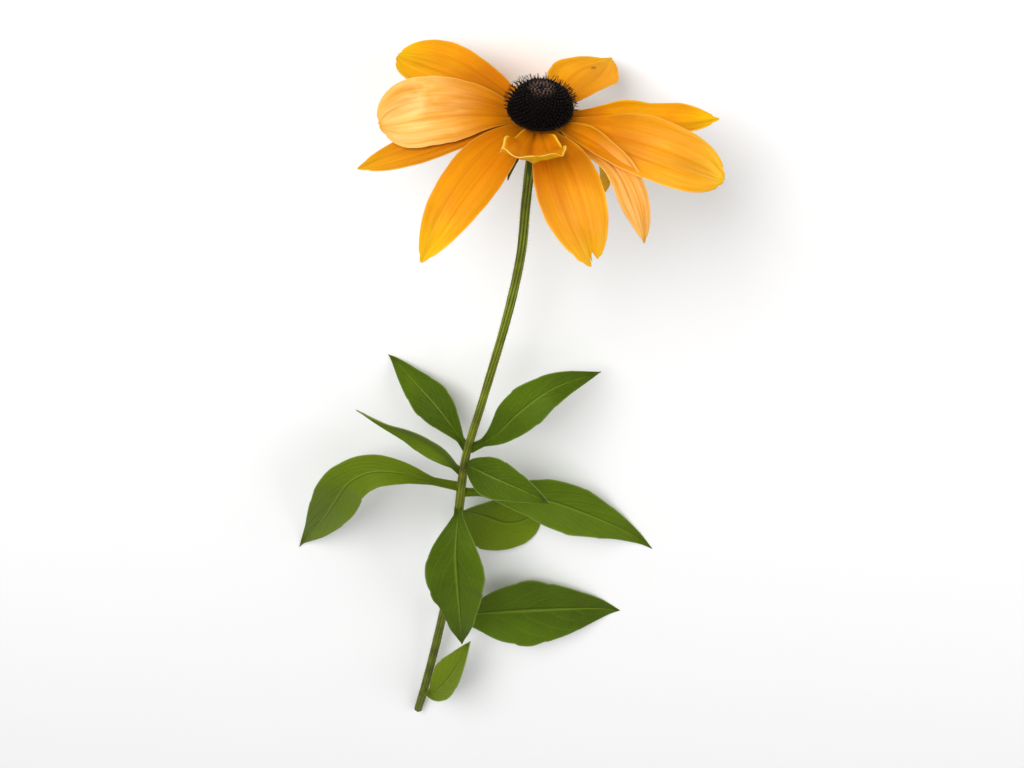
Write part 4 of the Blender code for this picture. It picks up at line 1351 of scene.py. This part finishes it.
def hair_matrices(samples, length, chance):
    """Stand a hair at each sample, leaning at random; only those whose tips stay clear of the table."""
    matrices = []
    for place, normal in samples:
        stray = Vector([chance.uniform(-HAIR_STRAY, HAIR_STRAY) for _ in range(3)])
        direction = (normal + stray + Vector(HAIR_LEAN)).normalized()
        size = length * chance.uniform(*HAIR_LENGTHS)
        matrix = standing(place - normal * HAIR_SINK, direction, HAIR_RADIUS, size,
                          chance.uniform(0.0, math.pi))
        if matrix[2, 3] + matrix[2, 2] > HAIR_CLEARANCE:
            matrices.append(matrix)
    return matrices


class FLOWER_OT_hairs(bpy.types.Operator):
    """Stand stiff hairs on the stem, the calyx and the leaves."""

    bl_idname = "flower.hairs"
    bl_label = "Hairs"

    def execute(self, context):
        look = context.scene.green_look
        pale = hair_finish()
        chance = random.Random(31)
        things = bpy.data.objects
        cup = [thing for thing in things if thing.name.startswith(("bract_", "calyx_cup"))]
        jobs = [("stem_hairs", [things["stem_ribbed"]], look.hair_count, 1.0, "stem", "stem"),
                ("calyx_hairs", cup, CALYX_HAIRS, CALYX_HAIR_SHARE, "calyx", "calyx")]
        for name in (leaf[0] for leaf in LEAVES):
            blade = things["blade_" + name]
            jobs.append(("hairs_" + name, [blade], LEAF_HAIRS, LEAF_HAIR_SHARE, "leaf_" + name, "leaf"))
        for name, sources, count, share, node, slot in jobs:
            matrices = []
            for source in sources:
                samples = surface_samples(source, count, chance)
                matrices += hair_matrices(samples, share * look.hair_length, chance)
            join_to_frame(scatter(name, add_hair(), matrices, pale), node)
        return {"FINISHED"}


# Stage


class FLOWER_OT_stage(bpy.types.Operator):
    """Set up the pale floor, the soft light and the camera that looks down on the flower."""

    bl_idname = "flower.stage"
    bl_label = "Floor, light and camera"

    def execute(self, context):
        look = context.scene.stage_look
        deselect_all()
        bpy.ops.mesh.primitive_plane_add(size=FLOOR_SIZE, location=(0.0, 0.0, 0.0))
        floor = name_piece("floor")
        floor.data.materials.append(floor_finish(look))
        for name, place, size, share in LIGHTS:
            self.light(name, Vector(place), size, share * look.key_power)
        world = bpy.data.worlds.new("white_room")
        world.use_nodes = True
        background = world.node_tree.nodes["Background"]
        background.inputs["Color"].default_value = (1.0, 1.0, 1.0, 1.0)
        background.inputs["Strength"].default_value = look.world_strength
        context.scene.world = world
        context.scene.view_settings.view_transform = "Standard"
        self.camera(context.scene)
        return {"FINISHED"}

    def light(self, name, place, size, power):
        """A square soft light that looks at the middle of the flower."""
        bpy.ops.object.light_add(type="AREA", location=place)
        lamp = bpy.context.object
        lamp.name = name
        lamp.data.size = size
        lamp.data.energy = power
        lamp.rotation_euler = (CAMERA_AIM - place).to_track_quat("-Z", "Y").to_euler()

    def camera(self, scene):
        """Stand the camera at the photograph's place and turn its picture as it was held."""
        back = Vector((0.0, math.cos(CAMERA_ELEVATION), math.sin(CAMERA_ELEVATION)))
        place = Vector(BLOOM_CENTRE) + back * CAMERA_DISTANCE
        forward = (CAMERA_AIM - place).normalized()
        right = forward.cross(CAMERA_UP).normalized()
        up = right.cross(forward)
        bpy.ops.object.camera_add(location=place)
        camera = bpy.context.object
        camera.name = "camera"
        camera.rotation_euler = Matrix((right, up, -forward)).transposed().to_euler()
        camera.data.lens = CAMERA_LENS
        camera.data.clip_start = 0.01
        scene.camera = camera


class FLOWER_PT_panel(bpy.types.Panel):
    """Sidebar panel with the settings and the steps in order."""

    bl_idname = "FLOWER_PT_panel"
    bl_label = "Black-eyed Susan"
    bl_space_type = "VIEW_3D"
    bl_region_type = "UI"
    bl_category = "Flower"

    def draw(self, context):
        layout = self.layout
        for name, _ in LOOKS:
            settings = getattr(context.scene, name)
            box = layout.box()
            box.label(text=settings.bl_rna.description)
            for setting in settings.bl_rna.properties:
                if not setting.is_readonly and setting.identifier != "name":
                    box.prop(settings, setting.identifier)
        for step in STEPS:
            layout.operator(step.bl_idname)


LOOKS = (
    ("petal_look", PetalSettings),
    ("head_look", HeadSettings),
    ("green_look", GreenSettings),
    ("stage_look", StageSettings),
)
STEPS = (
    FLOWER_OT_petals, FLOWER_OT_seed_head, FLOWER_OT_calyx, FLOWER_OT_stem, FLOWER_OT_leaves,
    FLOWER_OT_hairs, FLOWER_OT_stage,
)


def register():
    """Register the settings, the steps and the panel."""
    for name, group in LOOKS:
        bpy.utils.register_class(group)
        setattr(bpy.types.Scene, name, bpy.props.PointerProperty(type=group))
    for kind in STEPS + (FLOWER_PT_panel,):
        bpy.utils.register_class(kind)


def unregister():
    """Take everything out again, last first."""
    for kind in reversed(STEPS + (FLOWER_PT_panel,)):
        bpy.utils.unregister_class(kind)
    for name, group in reversed(LOOKS):
        delattr(bpy.types.Scene, name)
        bpy.utils.unregister_class(group)


def main():
    """Build the flower and its stage in order."""
    register()
    for step in STEPS:
        if getattr(bpy.ops.flower, step.bl_idname.split(".")[1])() != {"FINISHED"}:
            raise RuntimeError(step.bl_label + " could not be made")


if __name__ == "__main__":
    main()
